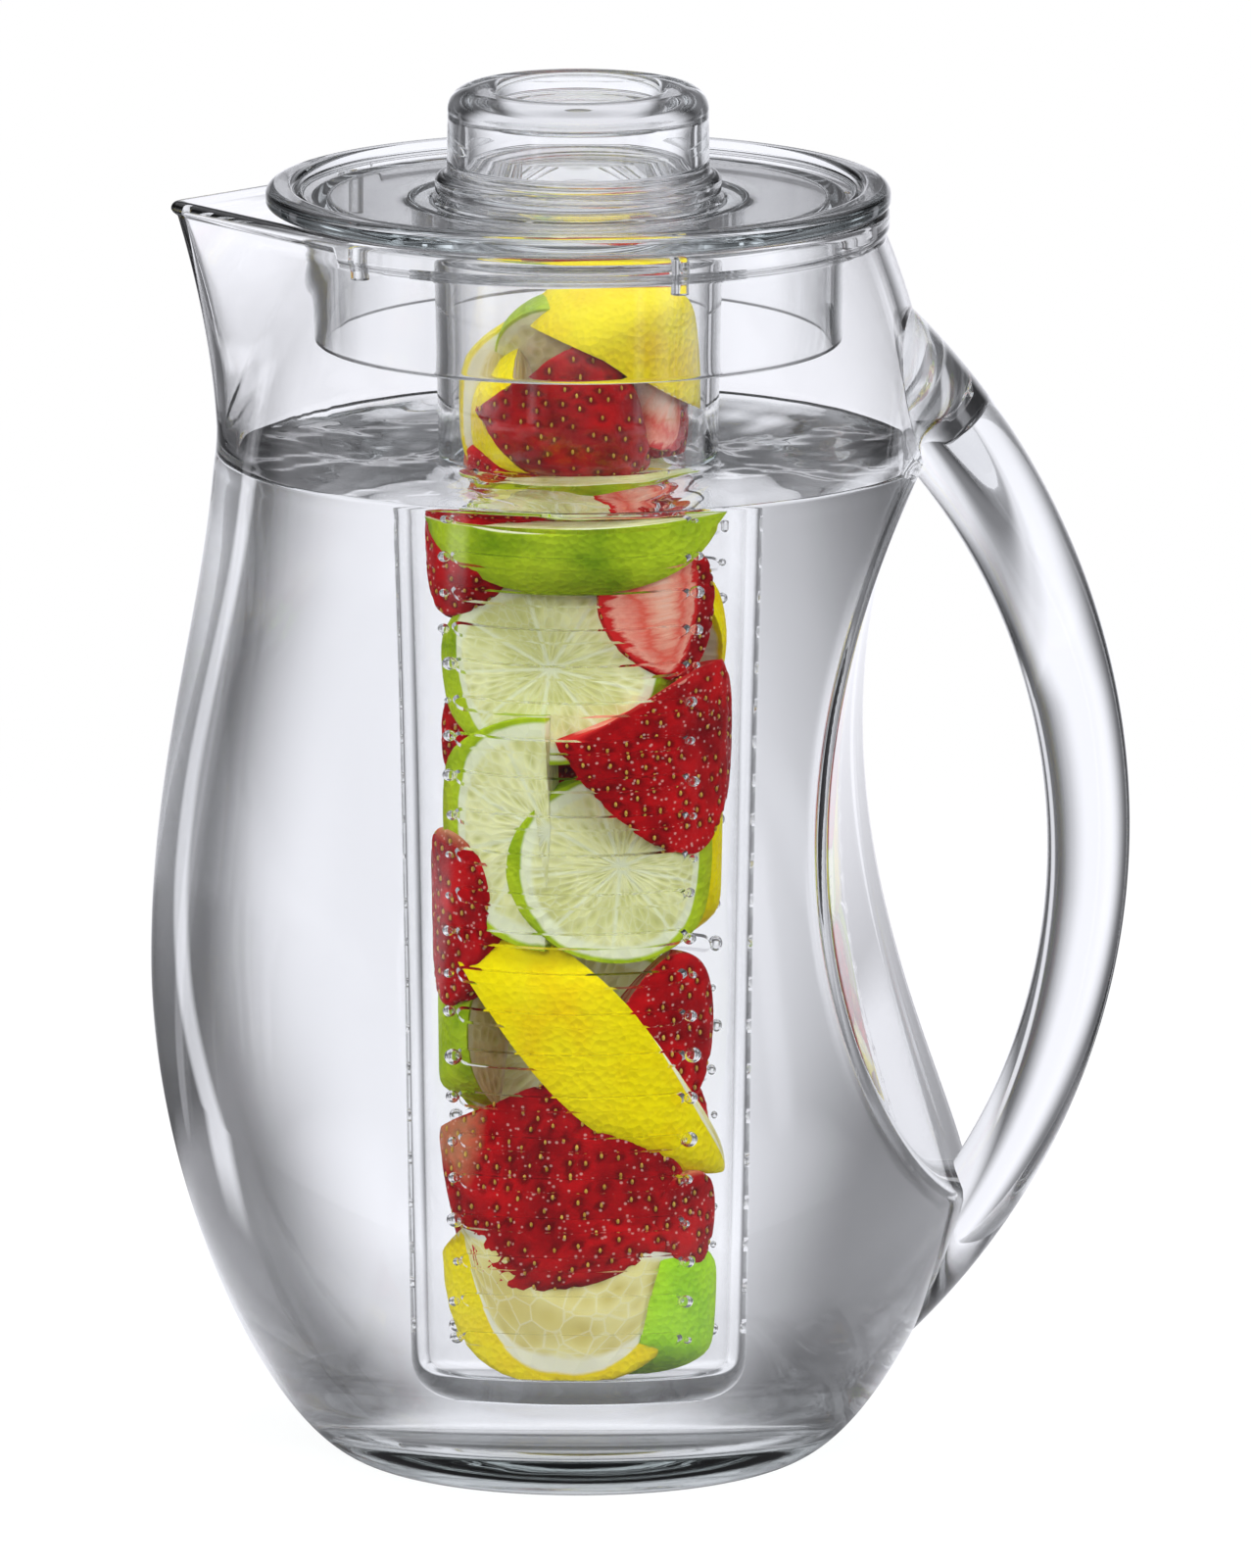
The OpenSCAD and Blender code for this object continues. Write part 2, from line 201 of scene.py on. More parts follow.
def grid_faces(rows, cols):
    i, j = np.meshgrid(np.arange(rows - 1), np.arange(cols), indexing="ij")
    a, b = i * cols + j, i * cols + (j + 1) % cols
    return np.stack([a, b, b + cols, a + cols], -1).reshape(-1, 4).tolist()


def closed_mesh(name, points, n, weld=False, **marks):
    """A closed mesh from rings of n points and a pole for each end; millimetres in. Marks
    hold a number or a place for each point, for a material or a tree to read."""
    low, high, last = len(points) - 2, len(points) - 1, len(points) - 2 - n
    caps = [(low, (j + 1) % n, j) for j in range(n)]
    caps += [(high, last + j, last + (j + 1) % n) for j in range(n)]
    mesh = bpy.data.meshes.new(name)
    mesh.from_pydata((points * MM).tolist(), [], grid_faces(low // n, n) + caps)
    for key, values in marks.items():
        kind, field = ("FLOAT", "value") if values.ndim == 1 else ("FLOAT_VECTOR", "vector")
        mesh.attributes.new(key, kind, "POINT").data.foreach_set(field, values.astype(np.float32).ravel())
    outward(mesh, weld)
    return mesh


def closed_rings(name, rings, bottom, top):
    """The same from a list of rings; points that lie on one another are made one."""
    points = np.concatenate([*rings, np.array([bottom, top], float)])
    return shown(name, closed_mesh(name, points, len(rings[0]), weld=True))


outer_rings = [round_ring(r, 0.0) for r in FOOT_RINGS]
outer_rings += [skin_ring(r, z, 0.0) for r, z in side_curve(0, FOOT_R, 0.0)]
outer_rings += [skin_ring(NECK_TOP_R, z, 0.0) for z in np.arange(RIM_Z - BAND_H + 0.5, RIM_Z - 1.39, 0.6)]
outer_rings = [band_step(row) for row in outer_rings]
rim_out = outer_rings[-1] * [1, 1, 0]
theta = column_angles(RIM_Z)
rim_in = ring(np.maximum(MOUTH_R, spout_radius(from_spout(theta), RIM_Z, SPOUT_WALL)), theta, 0.0)
inwards = -rim_out / np.linalg.norm(rim_out, axis=1)[:, None]
rim_rings = rounded(rim_out, inwards, RIM_OUT_ROUND, np.linspace(8, 90, 9))
rim_rings += rounded(rim_in, -inwards, RIM_IN_ROUND, np.linspace(90, 8, 8))
inner_rings = [skin_ring(MOUTH_R + MOUTH_OPENING * step((MOUTH_LEVELS[0] - z) / MOUTH_RUN), z, SPOUT_WALL)
               for z in MOUTH_LEVELS]
inner_rings += [skin_ring(r, z, WALL - (WALL - SPOUT_WALL) * step((z - SHOULDER_Z) / THINNING_RUN))
                for r, z in side_curve(WALL, FOOT_R - 2, BASE_T)[::-1]]
inner_rings += [round_ring(r, BASE_T) for r in FLOOR_RINGS]
shell_rings = outer_rings + rim_rings + inner_rings
pitcher_shell = closed_rings("pitcher_shell", shell_rings, (0, 0, 0), (0, 0, BASE_T))


class Wire:
    """An output of a node. Arithmetic with it grows Math nodes, and wire["Name"] is another
    output of the same node."""

    def __init__(self, socket):
        self.socket, self.tree = socket, socket.id_data

    def __getitem__(self, name):
        return Wire(self.socket.node.outputs[name])

    def __add__(self, other):
        return maths("ADD", self, other)

    def __sub__(self, other):
        return maths("SUBTRACT", self, other)

    def __rsub__(self, other):
        return maths("SUBTRACT", other, self)

    def __mul__(self, other):
        return maths("MULTIPLY", self, other)

    def __truediv__(self, other):
        return maths("DIVIDE", self, other)


def put(socket, value):
    """Links an input to a wire, or sets it to a plain value."""
    if isinstance(value, Wire):
        value.tree.links.new(value.socket, socket)
    else:
        socket.default_value = value


def add(tree, kind, *first, **values):
    """A new node, as the wire from its first output. Its inputs are given in order or by
    name, with __ for a space, and its own settings by a name that begins with _."""
    node = tree.nodes.new(kind)
    for key in [k for k in values if k[0] == "_"]:
        setattr(node, key[1:], values.pop(key))
    for socket, value in zip(node.inputs, first):
        put(socket, value)
    for key, value in values.items():
        put(next(s for s in node.inputs if s.name == key.replace("__", " ") and s.enabled), value)
    return next((Wire(s) for s in node.outputs if s.enabled), None)


def maths(operation, *values, kind="ShaderNodeMath"):
    tree = next(v.tree for v in values if isinstance(v, Wire))
    return add(tree, kind, *values, _operation=operation)


def new_material(name):
    """An empty material with its tree and the wire of Object coordinates in it."""
    m = bpy.data.materials.new(name)
    m.use_nodes = True
    m.node_tree.nodes.clear()
    return m, m.node_tree, add(m.node_tree, "ShaderNodeTexCoord")["Object"]


def noise(where, scale, detail=2.0, roughness=0.5):
    return add(where.tree, "ShaderNodeTexNoise", Vector=where, Scale=scale, Detail=detail,
               Roughness=roughness)


def lamps_pass(surface, colour):
    """Lets lamps shine through a clear surface, so that it casts only a faint shadow."""
    tree = surface.tree
    shadow = add(tree, "ShaderNodeLightPath")["Is Shadow Ray"]
    lamp_way = add(tree, "ShaderNodeBsdfTransparent", Color=(*colour, 1))
    return add(tree, "ShaderNodeMixShader", shadow, surface, lamp_way)


def clear_plastic(name, ior, depth, density, ripple=0.02):
    """Clear moulded plastic or liquid: faint flow ripples bend what is seen through it, and
    a long way through it takes on a slight colour."""
    m, tree, where = new_material(name)
    flow = add(tree, "ShaderNodeBump", Strength=ripple, Distance=0.001,
               Height=noise(where, 28.0, roughness=0.4))
    glass = add(tree, "ShaderNodeBsdfPrincipled", Base__Color=(1, 1, 1, 1), Roughness=0.0, IOR=ior,
                Transmission__Weight=1.0, Normal=flow)
    haze = add(tree, "ShaderNodeVolumeAbsorption", Color=(*depth, 1), Density=density)
    add(tree, "ShaderNodeOutputMaterial", Surface=lamps_pass(glass, (0.96, 0.97, 0.97)), Volume=haze)
    return m


ACRYLIC_IOR = 1.49
body_plastic = clear_plastic("body_acrylic", ACRYLIC_IOR, (0.72, 0.88, 0.86), 2.2)
pitcher_shell.data.materials.append(body_plastic)
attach(pitcher_shell, "pitcher")
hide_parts("pitcher_body")

# ---------------------------------------------------------------------------
# Handle: a solid bar of the same acrylic, bent to an arc and flared where it meets the
# body. It is bonded to the body under the rim band and low on the belly.
HANDLE_R, HANDLE_Z, HANDLE_T, HANDLE_W, TOP_W, FOOT_W = 128.5, 122.0, 15.9, 23.0, 41.0, 19.0
HANDLE_X = 106.3 - HANDLE_T / 2 - HANDLE_R
LOW_A = math.asin((BASE_T + 2 - HANDLE_Z) / HANDLE_R)
HIGH_A = math.asin((RIM_Z - BAND_H - 9 - HANDLE_Z) / HANDLE_R)
ENDS_THICKER, TOP_THICKER, FLARE_RUN, BURIED = 0.434, 0.25, math.radians(30), 0.25
PROFILE_R = 0.001
SOCKET_KINDS = {float: "Float", int: "Int", bpy.types.Object: "Object", bpy.types.Material: "Material"}


def node_tree(name, sizes, geometry_in=True):
    """A geometry tree with a named input for each size, the wire of its inputs, and its output."""
    tree = bpy.data.node_groups.new(name, "GeometryNodeTree")
    if geometry_in:
        tree.interface.new_socket("Geometry", in_out="INPUT", socket_type="NodeSocketGeometry")
    for key, value in sizes.items():
        kind = SOCKET_KINDS[type(value)]
        socket = tree.interface.new_socket(key, in_out="INPUT", socket_type="NodeSocket" + kind)
        if kind in ("Float", "Int"):
            socket.default_value = value
    tree.interface.new_socket("Geometry", in_out="OUTPUT", socket_type="NodeSocketGeometry")
    size = Wire(tree.nodes.new("NodeGroupInput").outputs[0])
    return tree, size, tree.nodes.new("NodeGroupOutput").inputs[0]


def grow_mesh(name, tree, sizes, base=None):
    """Runs a geometry tree on a mesh with the given sizes and returns the plain result."""
    maker = shown(name + "_maker", base or bpy.data.meshes.new(name + "_base"))
    modifier = maker.modifiers.new("make", "NODES")
    modifier.node_group = tree
    for item in tree.interface.items_tree:
        if item.in_out == "INPUT" and item.name in sizes:
            modifier[item.identifier] = sizes[item.name]
    maker.update_tag()
    bpy.context.view_layer.update()
    mesh = bpy.data.meshes.new_from_object(maker.evaluated_get(bpy.context.evaluated_depsgraph_get()))
    mesh.name = name
    mesh.polygons.foreach_set("use_smooth", [True] * len(mesh.polygons))
    maker.modifiers.clear()
    bpy.data.objects.remove(maker)
    return shown(name, mesh)


def painted(geometry, material, **where):
    """Makes instances real and gives them their material."""
    real = add(geometry.tree, "GeometryNodeRealizeInstances", geometry)
    return add(geometry.tree, "GeometryNodeSetMaterial", real, Material=material, **where)


def xyz(tree, x=0.0, y=0.0, z=0.0):
    return add(tree, "ShaderNodeCombineXYZ", x, y, z)


def vectors(operation, *values):
    return maths(operation, *values, kind="ShaderNodeVectorMath")


def smooth_map(value, from_a, from_b, to_a, to_b):
    """Follows a value from one range into another, with a soft start and end."""
    return add(value.tree, "ShaderNodeMapRange", value, from_a, from_b, to_a, to_b,
               _interpolation_type="SMOOTHSTEP")


core_rings = [row - row * [1, 1, 0] / np.hypot(row[:, 0], row[:, 1])[:, None] * BURIED
              for row in outer_rings[len(FOOT_RINGS):]]
core = closed_rings("body_core", core_rings, (0, 0, 0), (0, 0, RIM_Z - 1.5))
handle_sizes = {
    "Radius": HANDLE_R * MM, "Thickness": HANDLE_T * MM, "Width": HANDLE_W * MM, "Top Width": TOP_W * MM,
    "Foot Width": FOOT_W * MM, "Low Angle": LOW_A, "High Angle": HIGH_A, "Body": core}
tree, size, out = node_tree("handle_bar", handle_sizes, geometry_in=False)
arc = add(tree, "GeometryNodeCurveArc", Resolution=150, Radius=size["Radius"],
          Start__Angle=size["Low Angle"], Sweep__Angle=size["High Angle"] - size["Low Angle"])
upright = add(tree, "GeometryNodeTransform", arc, Translation=(HANDLE_X * MM, 0, HANDLE_Z * MM),
              Rotation=(math.pi / 2, 0, 0))
spot = add(tree, "GeometryNodeInputPosition")
keep = tree.nodes.new("GeometryNodeCaptureAttribute")
keep.capture_items.new("VECTOR", "Middle")
put(keep.inputs["Geometry"], upright)
put(keep.inputs["Middle"], spot)
middle = Wire(keep.outputs["Middle"])
profile = add(tree, "GeometryNodeCurvePrimitiveCircle", Resolution=56, Radius=PROFILE_R)
tube = add(tree, "GeometryNodeCurveToMesh", middle["Geometry"], Profile__Curve=profile, Fill__Caps=True)
part = add(tree, "ShaderNodeSeparateXYZ", middle)
sin_a = (part["Z"] - HANDLE_Z * MM) / size["Radius"]
cos_a = (part["X"] - HANDLE_X * MM) / size["Radius"]
thick = ((1.0 - cos_a) * ENDS_THICKER + 1.0 + sin_a * TOP_THICKER) * size["Thickness"]
angle = maths("ARCTAN2", sin_a, cos_a)


def flare(turn, start, width):
    """How much wider the bar gets towards one of its ends."""
    start = math.radians(start)
    return (width - size["Width"]) * smooth_map(turn, start, start + FLARE_RUN, 0.0, 1.0)


wide = size["Width"] + flare(angle, 12, size["Top Width"]) + flare(angle * -1.0, 5, size["Foot Width"])
half = 0.5 / PROFILE_R
off_middle = vectors("SUBTRACT", spot, middle)
grown = vectors("MULTIPLY", off_middle, xyz(tree, thick * half, wide * half, thick * half))
bar = add(tree, "GeometryNodeSetPosition", tube, Position=vectors("ADD", grown, middle))
body_in = add(tree, "GeometryNodeObjectInfo", size["Body"], _transform_space="RELATIVE")["Geometry"]
cut = add(tree, "GeometryNodeMeshBoolean", bar, body_in, _operation="DIFFERENCE", _solver="EXACT")
handle_plastic = clear_plastic("handle_acrylic", ACRYLIC_IOR, (0.7, 0.88, 0.92), 1.5, ripple=0.015)
put(out, painted(cut, handle_plastic))

handle_bar = grow_mesh("handle_bar", tree, handle_sizes)
bpy.data.objects.remove(core)
handle_bar.data.set_sharp_from_angle(angle=math.radians(35))
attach(handle_bar, "pitcher")
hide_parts("handle")

# ---------------------------------------------------------------------------
# Water: the fill of the pitcher up to just under the lid's skirt. It climbs a little at
# the wall and at the infuser, and its top is still moving. It wets the wall, so it is
# made to reach a fraction of a millimetre into the plastic and no air lies between.
WATER_Z, WET, BELOW_TOP = 195.0, 0.3, 1.0
WALL_CLIMB, WALL_RUN, TUBE_CLIMB, TUBE_RUN, CLIMB_R, CALM_RUN = 1.6, 1.7, 0.9, 1.5, 27.2, 3.0
EDGE_UP, EDGE_CALM, TOP_R = 0.6, 0.8, 66.0
FROM_WALL = (0.0, 0.3, 0.6, 1.0, 1.5, 2.2, 3.0, 4.0, 5.2, 6.5, 8.0, 10, 12, 14, 16.5, 19, 21.5, 24, 26.5, 29,
             31.5, 34, 36, 37.5, 38.8, 39.6, 40.2, 40.8, 41.6, 43, 45, 48, 51.5, 55, 58.5, 62, 64.5)
# Each wave's height, its turns along X and Y for each millimetre, and its start.
WAVES = ((0.55, 0.085, 0.06, 1.0), (0.4, -0.06, 0.15, 2.2), (0.28, 0.19, -0.05, 0.4), (0.16, 0.31, 0.22, 0.0),
         (0.10, -0.42, 0.33, 1.7), (0.09, 0.56, -0.44, 0.9), (0.06, 0.35, 0.71, 2.9))


def ripples(x, y):
    return sum(high * np.sin(along_x * x + along_y * y + start) for high, along_x, along_y, start in WAVES)


water_rings = [round_ring(r, BASE_T - WET) for r in (5.0, 14.0, 24.0, 32.0, 36.0)]
water_rings += [skin_ring(r, z, WALL - WET) for r, z in side_curve(WALL - WET, FOOT_R - 2, BASE_T - WET)
                if z < WATER_Z - BELOW_TOP]
edge = skin_ring(skin_r(WATER_Z + 1.8) - WALL + WET, WATER_Z, WALL - WET)
edge_r, edge_way = np.hypot(edge[:, 0], edge[:, 1]), np.arctan2(edge[:, 1], edge[:, 0])
water_rings.append(edge + [0, 0, EDGE_UP])
for d in FROM_WALL:
    r = edge_r * (1 - d / TOP_R)
    lift = WALL_CLIMB * math.exp(-d / WALL_RUN) + TUBE_CLIMB * np.exp(-np.abs(r - CLIMB_R) / TUBE_RUN)
    calm = 1 - EDGE_CALM * math.exp(-d / CALM_RUN)
    waves = ripples(r * np.cos(edge_way), r * np.sin(edge_way))
    water_rings.append(ring(r, edge_way, WATER_Z + lift + calm * waves))
water = closed_rings("water", water_rings, (0, 0, BASE_T - WET), (0, 0, WATER_Z + ripples(0.0, 0.0)))
water.data.materials.append(clear_plastic("water_fill", 1.333, (0.8, 0.93, 0.95), 0.35, ripple=0.0))
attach(water, "pitcher")

# ---------------------------------------------------------------------------
# Infuser tube: a long clear acrylic cup with a threaded neck. It tapers a little to its
# rounded foot, and slots through its front and back wall let the drink reach the fruit.
TUBE_R, TUBE_END_R, TUBE_Z, SHOULDER_TOP, TUBE_T, TUBE_FLOOR = 27.7, 23.6, 20.5, 243.1, 2.5, 5.0
NECK_R, NECK_TOP, BORE_R, PITCH = 22.4, 251.9, 19.9, 2.4
SLOT_N, SLOT_PITCH, SLOT_H, SLOT_Z, SLOT_HALF, CUT_REACH = 23, 7.3, 2.6, 33.5, math.radians(44), 0.04


def arc_points(c, r, a0, a1, n):
    a = np.radians(np.linspace(a0, a1, n + 1))
    return np.stack([c[0] + r * np.cos(a), c[1] + r * np.sin(a)], 1)


def between(a, b, step_mm):
    return np.linspace(a, b, max(1, int(round(math.dist(a, b) / step_mm))) + 1)


def lathe(name, profile, cols):
    """Turns a closed profile of radius and height points round Z; millimetres in."""
    p = np.array(profile, float)
    p = p[[0] + [i for i in range(1, len(p)) if np.linalg.norm(p[i] - p[i - 1]) > 1e-4]]
    a = np.arange(cols) * 2 * math.pi / cols
    points = np.concatenate([ring(r, a, z) for r, z in p])
    last = (len(p) - 1) * cols
    seam = [[last + j, last + (j + 1) % cols, (j + 1) % cols, j] for j in range(cols)]
    mesh = bpy.data.meshes.new(name)
    mesh.from_pydata((points * MM).tolist(), [], grid_faces(len(p), cols) + seam)
    outward(mesh)
    return shown(name, mesh)


def tube_r(z):
    return TUBE_END_R + (TUBE_R - TUBE_END_R) * (z - TUBE_Z) / (SHOULDER_TOP - TUBE_Z)


tube_profile = np.concatenate([
    [[0, TUBE_Z + 0.8], [3.0, TUBE_Z + 0.8], [3.0, TUBE_Z]],
    between([3.0, TUBE_Z], [TUBE_END_R - 7, TUBE_Z], 3),
    arc_points([TUBE_END_R - 7, TUBE_Z + 7], 7, -90, -3, 14),
    between([tube_r(28), 28], [tube_r(WATER_Z), WATER_Z], 6),
    between([tube_r(WATER_Z), WATER_Z], [TUBE_R, SHOULDER_TOP - 8], 4),
    arc_points([TUBE_R - 0.8, SHOULDER_TOP - 0.8], 0.8, 0, 90, 4),
    [[NECK_R, SHOULDER_TOP]], between([NECK_R, SHOULDER_TOP], [NECK_R, NECK_TOP - 0.5], 2),
    arc_points([NECK_R - 0.5, NECK_TOP - 0.5], 0.5, 0, 90, 3),
    arc_points([BORE_R + 0.5, NECK_TOP - 0.5], 0.5, 90, 180, 3),
    between([BORE_R, NECK_TOP - 1], [BORE_R, SHOULDER_TOP - 2.5], 2),
    cubic([BORE_R, SHOULDER_TOP - 2.5], [BORE_R, SHOULDER_TOP - 4.5],
          [TUBE_R - TUBE_T, SHOULDER_TOP - 5], [TUBE_R - TUBE_T, SHOULDER_TOP - 7.5], 8),
    between([tube_r(232) - TUBE_T, 232], [tube_r(WATER_Z) - TUBE_T, WATER_Z], 4),
    between([tube_r(WATER_Z) - TUBE_T, WATER_Z], [tube_r(30) - TUBE_T, 30], 6),
    arc_points([TUBE_END_R - TUBE_T - 3, TUBE_Z + TUBE_FLOOR + 3], 3, -3, -90, 8),
    between([TUBE_END_R - TUBE_T - 3, TUBE_Z + TUBE_FLOOR], [0, TUBE_Z + TUBE_FLOOR], 4)])
tube_blank = lathe("tube_blank", tube_profile, 224)

# The slots, sawn straight through by one rounded cutter for each row. They get wider up
# the tube as it does. The tube's part under water is finished for water around it.
slot_sizes = {
    "Count": SLOT_N, "Pitch": SLOT_PITCH * MM, "Height": SLOT_H * MM, "First": SLOT_Z * MM,
    "Width": 2 * tube_r(SLOT_Z) * math.sin(SLOT_HALF) * MM,
    "Widening": (TUBE_R - TUBE_END_R) / (SHOULDER_TOP - TUBE_Z) / tube_r(SLOT_Z) / MM}
tree, size, out = node_tree("slot_rows", slot_sizes)
outline = add(tree, "GeometryNodeCurvePrimitiveQuadrilateral", size["Width"], size["Height"])
fillet = add(tree, "GeometryNodeFilletCurve", outline, _mode="POLY", Count=7, Radius=size["Height"] * 0.498)
through = add(tree, "GeometryNodeCurvePrimitiveLine", Start=(0, -CUT_REACH, 0), End=(0, CUT_REACH, 0))
cutter = add(tree, "GeometryNodeCurveToMesh", through, Profile__Curve=fillet, Fill__Caps=True)


def rows_up(tree, count, first, pitch):
    """Points above one another on the tube's axis, one for each row of slots."""
    return add(tree, "GeometryNodeMeshLine", Count=count, Start__Location=xyz(tree, z=first),
               Offset=xyz(tree, z=pitch))


def wider(tree, pitch, widening):
    """How much wider the tube is at each row than at the first."""
    return add(tree, "GeometryNodeInputIndex") * pitch * widening + 1.0


rows = rows_up(tree, size["Count"], size["First"], size["Pitch"])
spread = wider(tree, size["Pitch"], size["Widening"])
cutters = add(tree, "GeometryNodeInstanceOnPoints", rows, Instance=cutter, Scale=xyz(tree, spread, 1.0, 1.0))
cutters = add(tree, "GeometryNodeRealizeInstances", cutters)
slotted = add(tree, "GeometryNodeMeshBoolean", size["Geometry"], cutters,
              _operation="DIFFERENCE", _solver="EXACT")
dry_plastic = clear_plastic("infuser_acrylic", ACRYLIC_IOR, (0.75, 0.9, 0.92), 2.5)
wet_plastic = clear_plastic("infuser_acrylic_wet", 1.085, (0.75, 0.9, 0.92), 2.5, ripple=0.05)
height = add(tree, "ShaderNodeSeparateXYZ", add(tree, "GeometryNodeInputPosition"))["Z"]
under_water = maths("LESS_THAN", height, WATER_Z * MM)
put(out, painted(painted(slotted, dry_plastic), wet_plastic, Selection=under_water))
infuser = grow_mesh("infuser_cup", tree, slot_sizes, tube_blank.data)
bpy.data.objects.remove(tube_blank)
infuser.data.set_sharp_from_angle(angle=math.radians(32))
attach(infuser, "infuser")
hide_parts("infuser_tube")

# Thread on the infuser's neck, and the same thread turned inside out in the knob: one
# low ridge that runs round a turn and a half and fades out at both ends.
thread_sizes = {"Root": NECK_R * MM, "Pitch": PITCH * MM, "Turns": 1.5, "Start": 0.2476,
                "Depth": 0.0013, "Width": 0.0011}
thread_tree, size, out = node_tree("thread_ridge", thread_sizes, geometry_in=False)
coil = add(thread_tree, "GeometryNodeCurveSpiral", Resolution=90, Rotations=size["Turns"],
           Start__Radius=size["Root"], End__Radius=size["Root"], Height=size["Pitch"] * size["Turns"])
lifted = add(thread_tree, "GeometryNodeTransform", coil, Translation=xyz(thread_tree, z=size["Start"]))
along = add(thread_tree, "GeometryNodeSplineParameter")
fade = maths("MINIMUM", maths("MINIMUM", along, 1.0 - along) * 12.0, 1.0) + 0.05
bead = add(thread_tree, "GeometryNodeCurvePrimitiveCircle", Resolution=12, Radius=PROFILE_R)
bead_shape = add(thread_tree, "GeometryNodeTransform", bead,
                 Scale=xyz(thread_tree, size["Depth"] * (1 / PROFILE_R), size["Width"] * half, 1.0))
ridge = add(thread_tree, "GeometryNodeCurveToMesh", lifted, Profile__Curve=bead_shape, Scale=fade,
            Fill__Caps=True)
put(out, painted(ridge, dry_plastic))
neck_thread = grow_mesh("neck_thread", thread_tree, thread_sizes)
outward(neck_thread.data)
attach(neck_thread, "infuser")

# ---------------------------------------------------------------------------
# Lid: a clear moulded disc that drops into the mouth. A round bead runs along its edge,
# a deep thin skirt hangs in the mouth with small centring pegs outside it, and a short
# collar holds the infuser upright.
LID_Z, LID_R, BEAD_H, DISC_TOP, DISC_LOW = 244.3, 60.0, 3.9, 246.4, 243.4
SKIRT_R, SKIRT_T, SKIRT_Z, COLLAR_R, COLLAR_IN_R, COLLAR_H, HOLE_R = 50.7, 2.4, 218.0, 32.0, 28.0, 7.4, 24.0
EDGE_R, LEDGE_R = 52.4, 54.2
top_z, skirt_in, collar_low = LID_Z + BEAD_H, SKIRT_R - SKIRT_T, DISC_LOW - COLLAR_H
lid_profile = np.concatenate([
    between([HOLE_R, DISC_LOW + 0.3], [HOLE_R, DISC_TOP - 0.4], 1.5),
    arc_points([HOLE_R + 0.4, DISC_TOP - 0.4], 0.4, 180, 90, 3),
    between([HOLE_R + 0.5, DISC_TOP], [EDGE_R, DISC_TOP], 3),
    arc_points([EDGE_R, DISC_TOP + 1.2], 1.2, -90, -20, 5),
    arc_points([EDGE_R + 3.5, top_z - 1.7], 1.7, 170, 90, 8),
    arc_points([LID_R - 1.9, top_z - 1.9], 1.9, 90, 0, 9),
    arc_points([LID_R - 1.0, LID_Z + 1.0], 1.0, 0, -90, 6),
    between([LID_R - 1.2, LID_Z], [LEDGE_R, LID_Z], 2), arc_points([LEDGE_R, LID_Z - 0.6], 0.6, 90, 180, 3),
    arc_points([LEDGE_R - 1.2, DISC_LOW + 0.6], 0.6, 0, -90, 3),
    arc_points([SKIRT_R + 0.6, DISC_LOW - 0.6], 0.6, 90, 180, 4),
    between([SKIRT_R, DISC_LOW - 1], [SKIRT_R, SKIRT_Z + 0.8], 4),
    arc_points([SKIRT_R - 0.8, SKIRT_Z + 0.8], 0.8, 0, -90, 5),
    arc_points([skirt_in + 0.8, SKIRT_Z + 0.8], 0.8, -90, -180, 5),
    between([skirt_in, SKIRT_Z + 1.2], [skirt_in, DISC_LOW - 1], 4),
    arc_points([skirt_in - 0.8, DISC_LOW - 0.8], 0.8, 0, 90, 4),
    between([skirt_in - 1, DISC_LOW], [COLLAR_R + 0.8, DISC_LOW], 3),
    arc_points([COLLAR_R + 0.8, DISC_LOW - 0.8], 0.8, 90, 180, 4),
    between([COLLAR_R, DISC_LOW - 1], [COLLAR_R, collar_low + 0.6], 2),
    arc_points([COLLAR_R - 0.6, collar_low + 0.6], 0.6, 0, -90, 4),
    arc_points([COLLAR_IN_R + 0.6, collar_low + 0.6], 0.6, -90, -180, 4),
    between([COLLAR_IN_R, collar_low + 1], [COLLAR_IN_R, DISC_LOW], 2),
    between([COLLAR_IN_R, DISC_LOW], [HOLE_R + 0.3, DISC_LOW], 2)])
lid_disc = lathe("lid_disc", lid_profile, 288)
lid_disc.data.set_sharp_from_angle(angle=math.radians(35))
lid_plastic = clear_plastic("lid_acrylic", ACRYLIC_IOR, (0.6, 0.85, 0.88), 4.5)
lid_disc.data.materials.append(lid_plastic)
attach(lid_disc, "lid")
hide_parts("lid")

# Centring pegs, moulded in one with the lid between its edge and its skirt.
peg_sizes = {"Count": 5, "Ring": 0.05275, "Radius": 0.0017, "Length": 0.0083, "First": math.radians(-137)}
tree, size, out = node_tree("centring_pegs", peg_sizes, geometry_in=False)
circle = add(tree, "GeometryNodeMeshCircle", Vertices=size["Count"], Radius=size["Ring"])
turned = add(tree, "GeometryNodeTransform", circle, Rotation=xyz(tree, z=size["First"]))
rod = add(tree, "GeometryNodeMeshCylinder", Vertices=32, Side__Segments=4, Fill__Segments=2,
          Radius=size["Radius"], Depth=size["Length"])
hung = add(tree, "GeometryNodeTransform", rod,
           Translation=xyz(tree, z=(DISC_LOW + 0.1) * MM - size["Length"] * 0.5))
put(out, painted(add(tree, "GeometryNodeInstanceOnPoints", turned, Instance=hung), lid_plastic))
pegs = grow_mesh("lid_pegs", tree, peg_sizes)
pegs.data.set_sharp_from_angle(angle=math.radians(35))
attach(pegs, "lid")

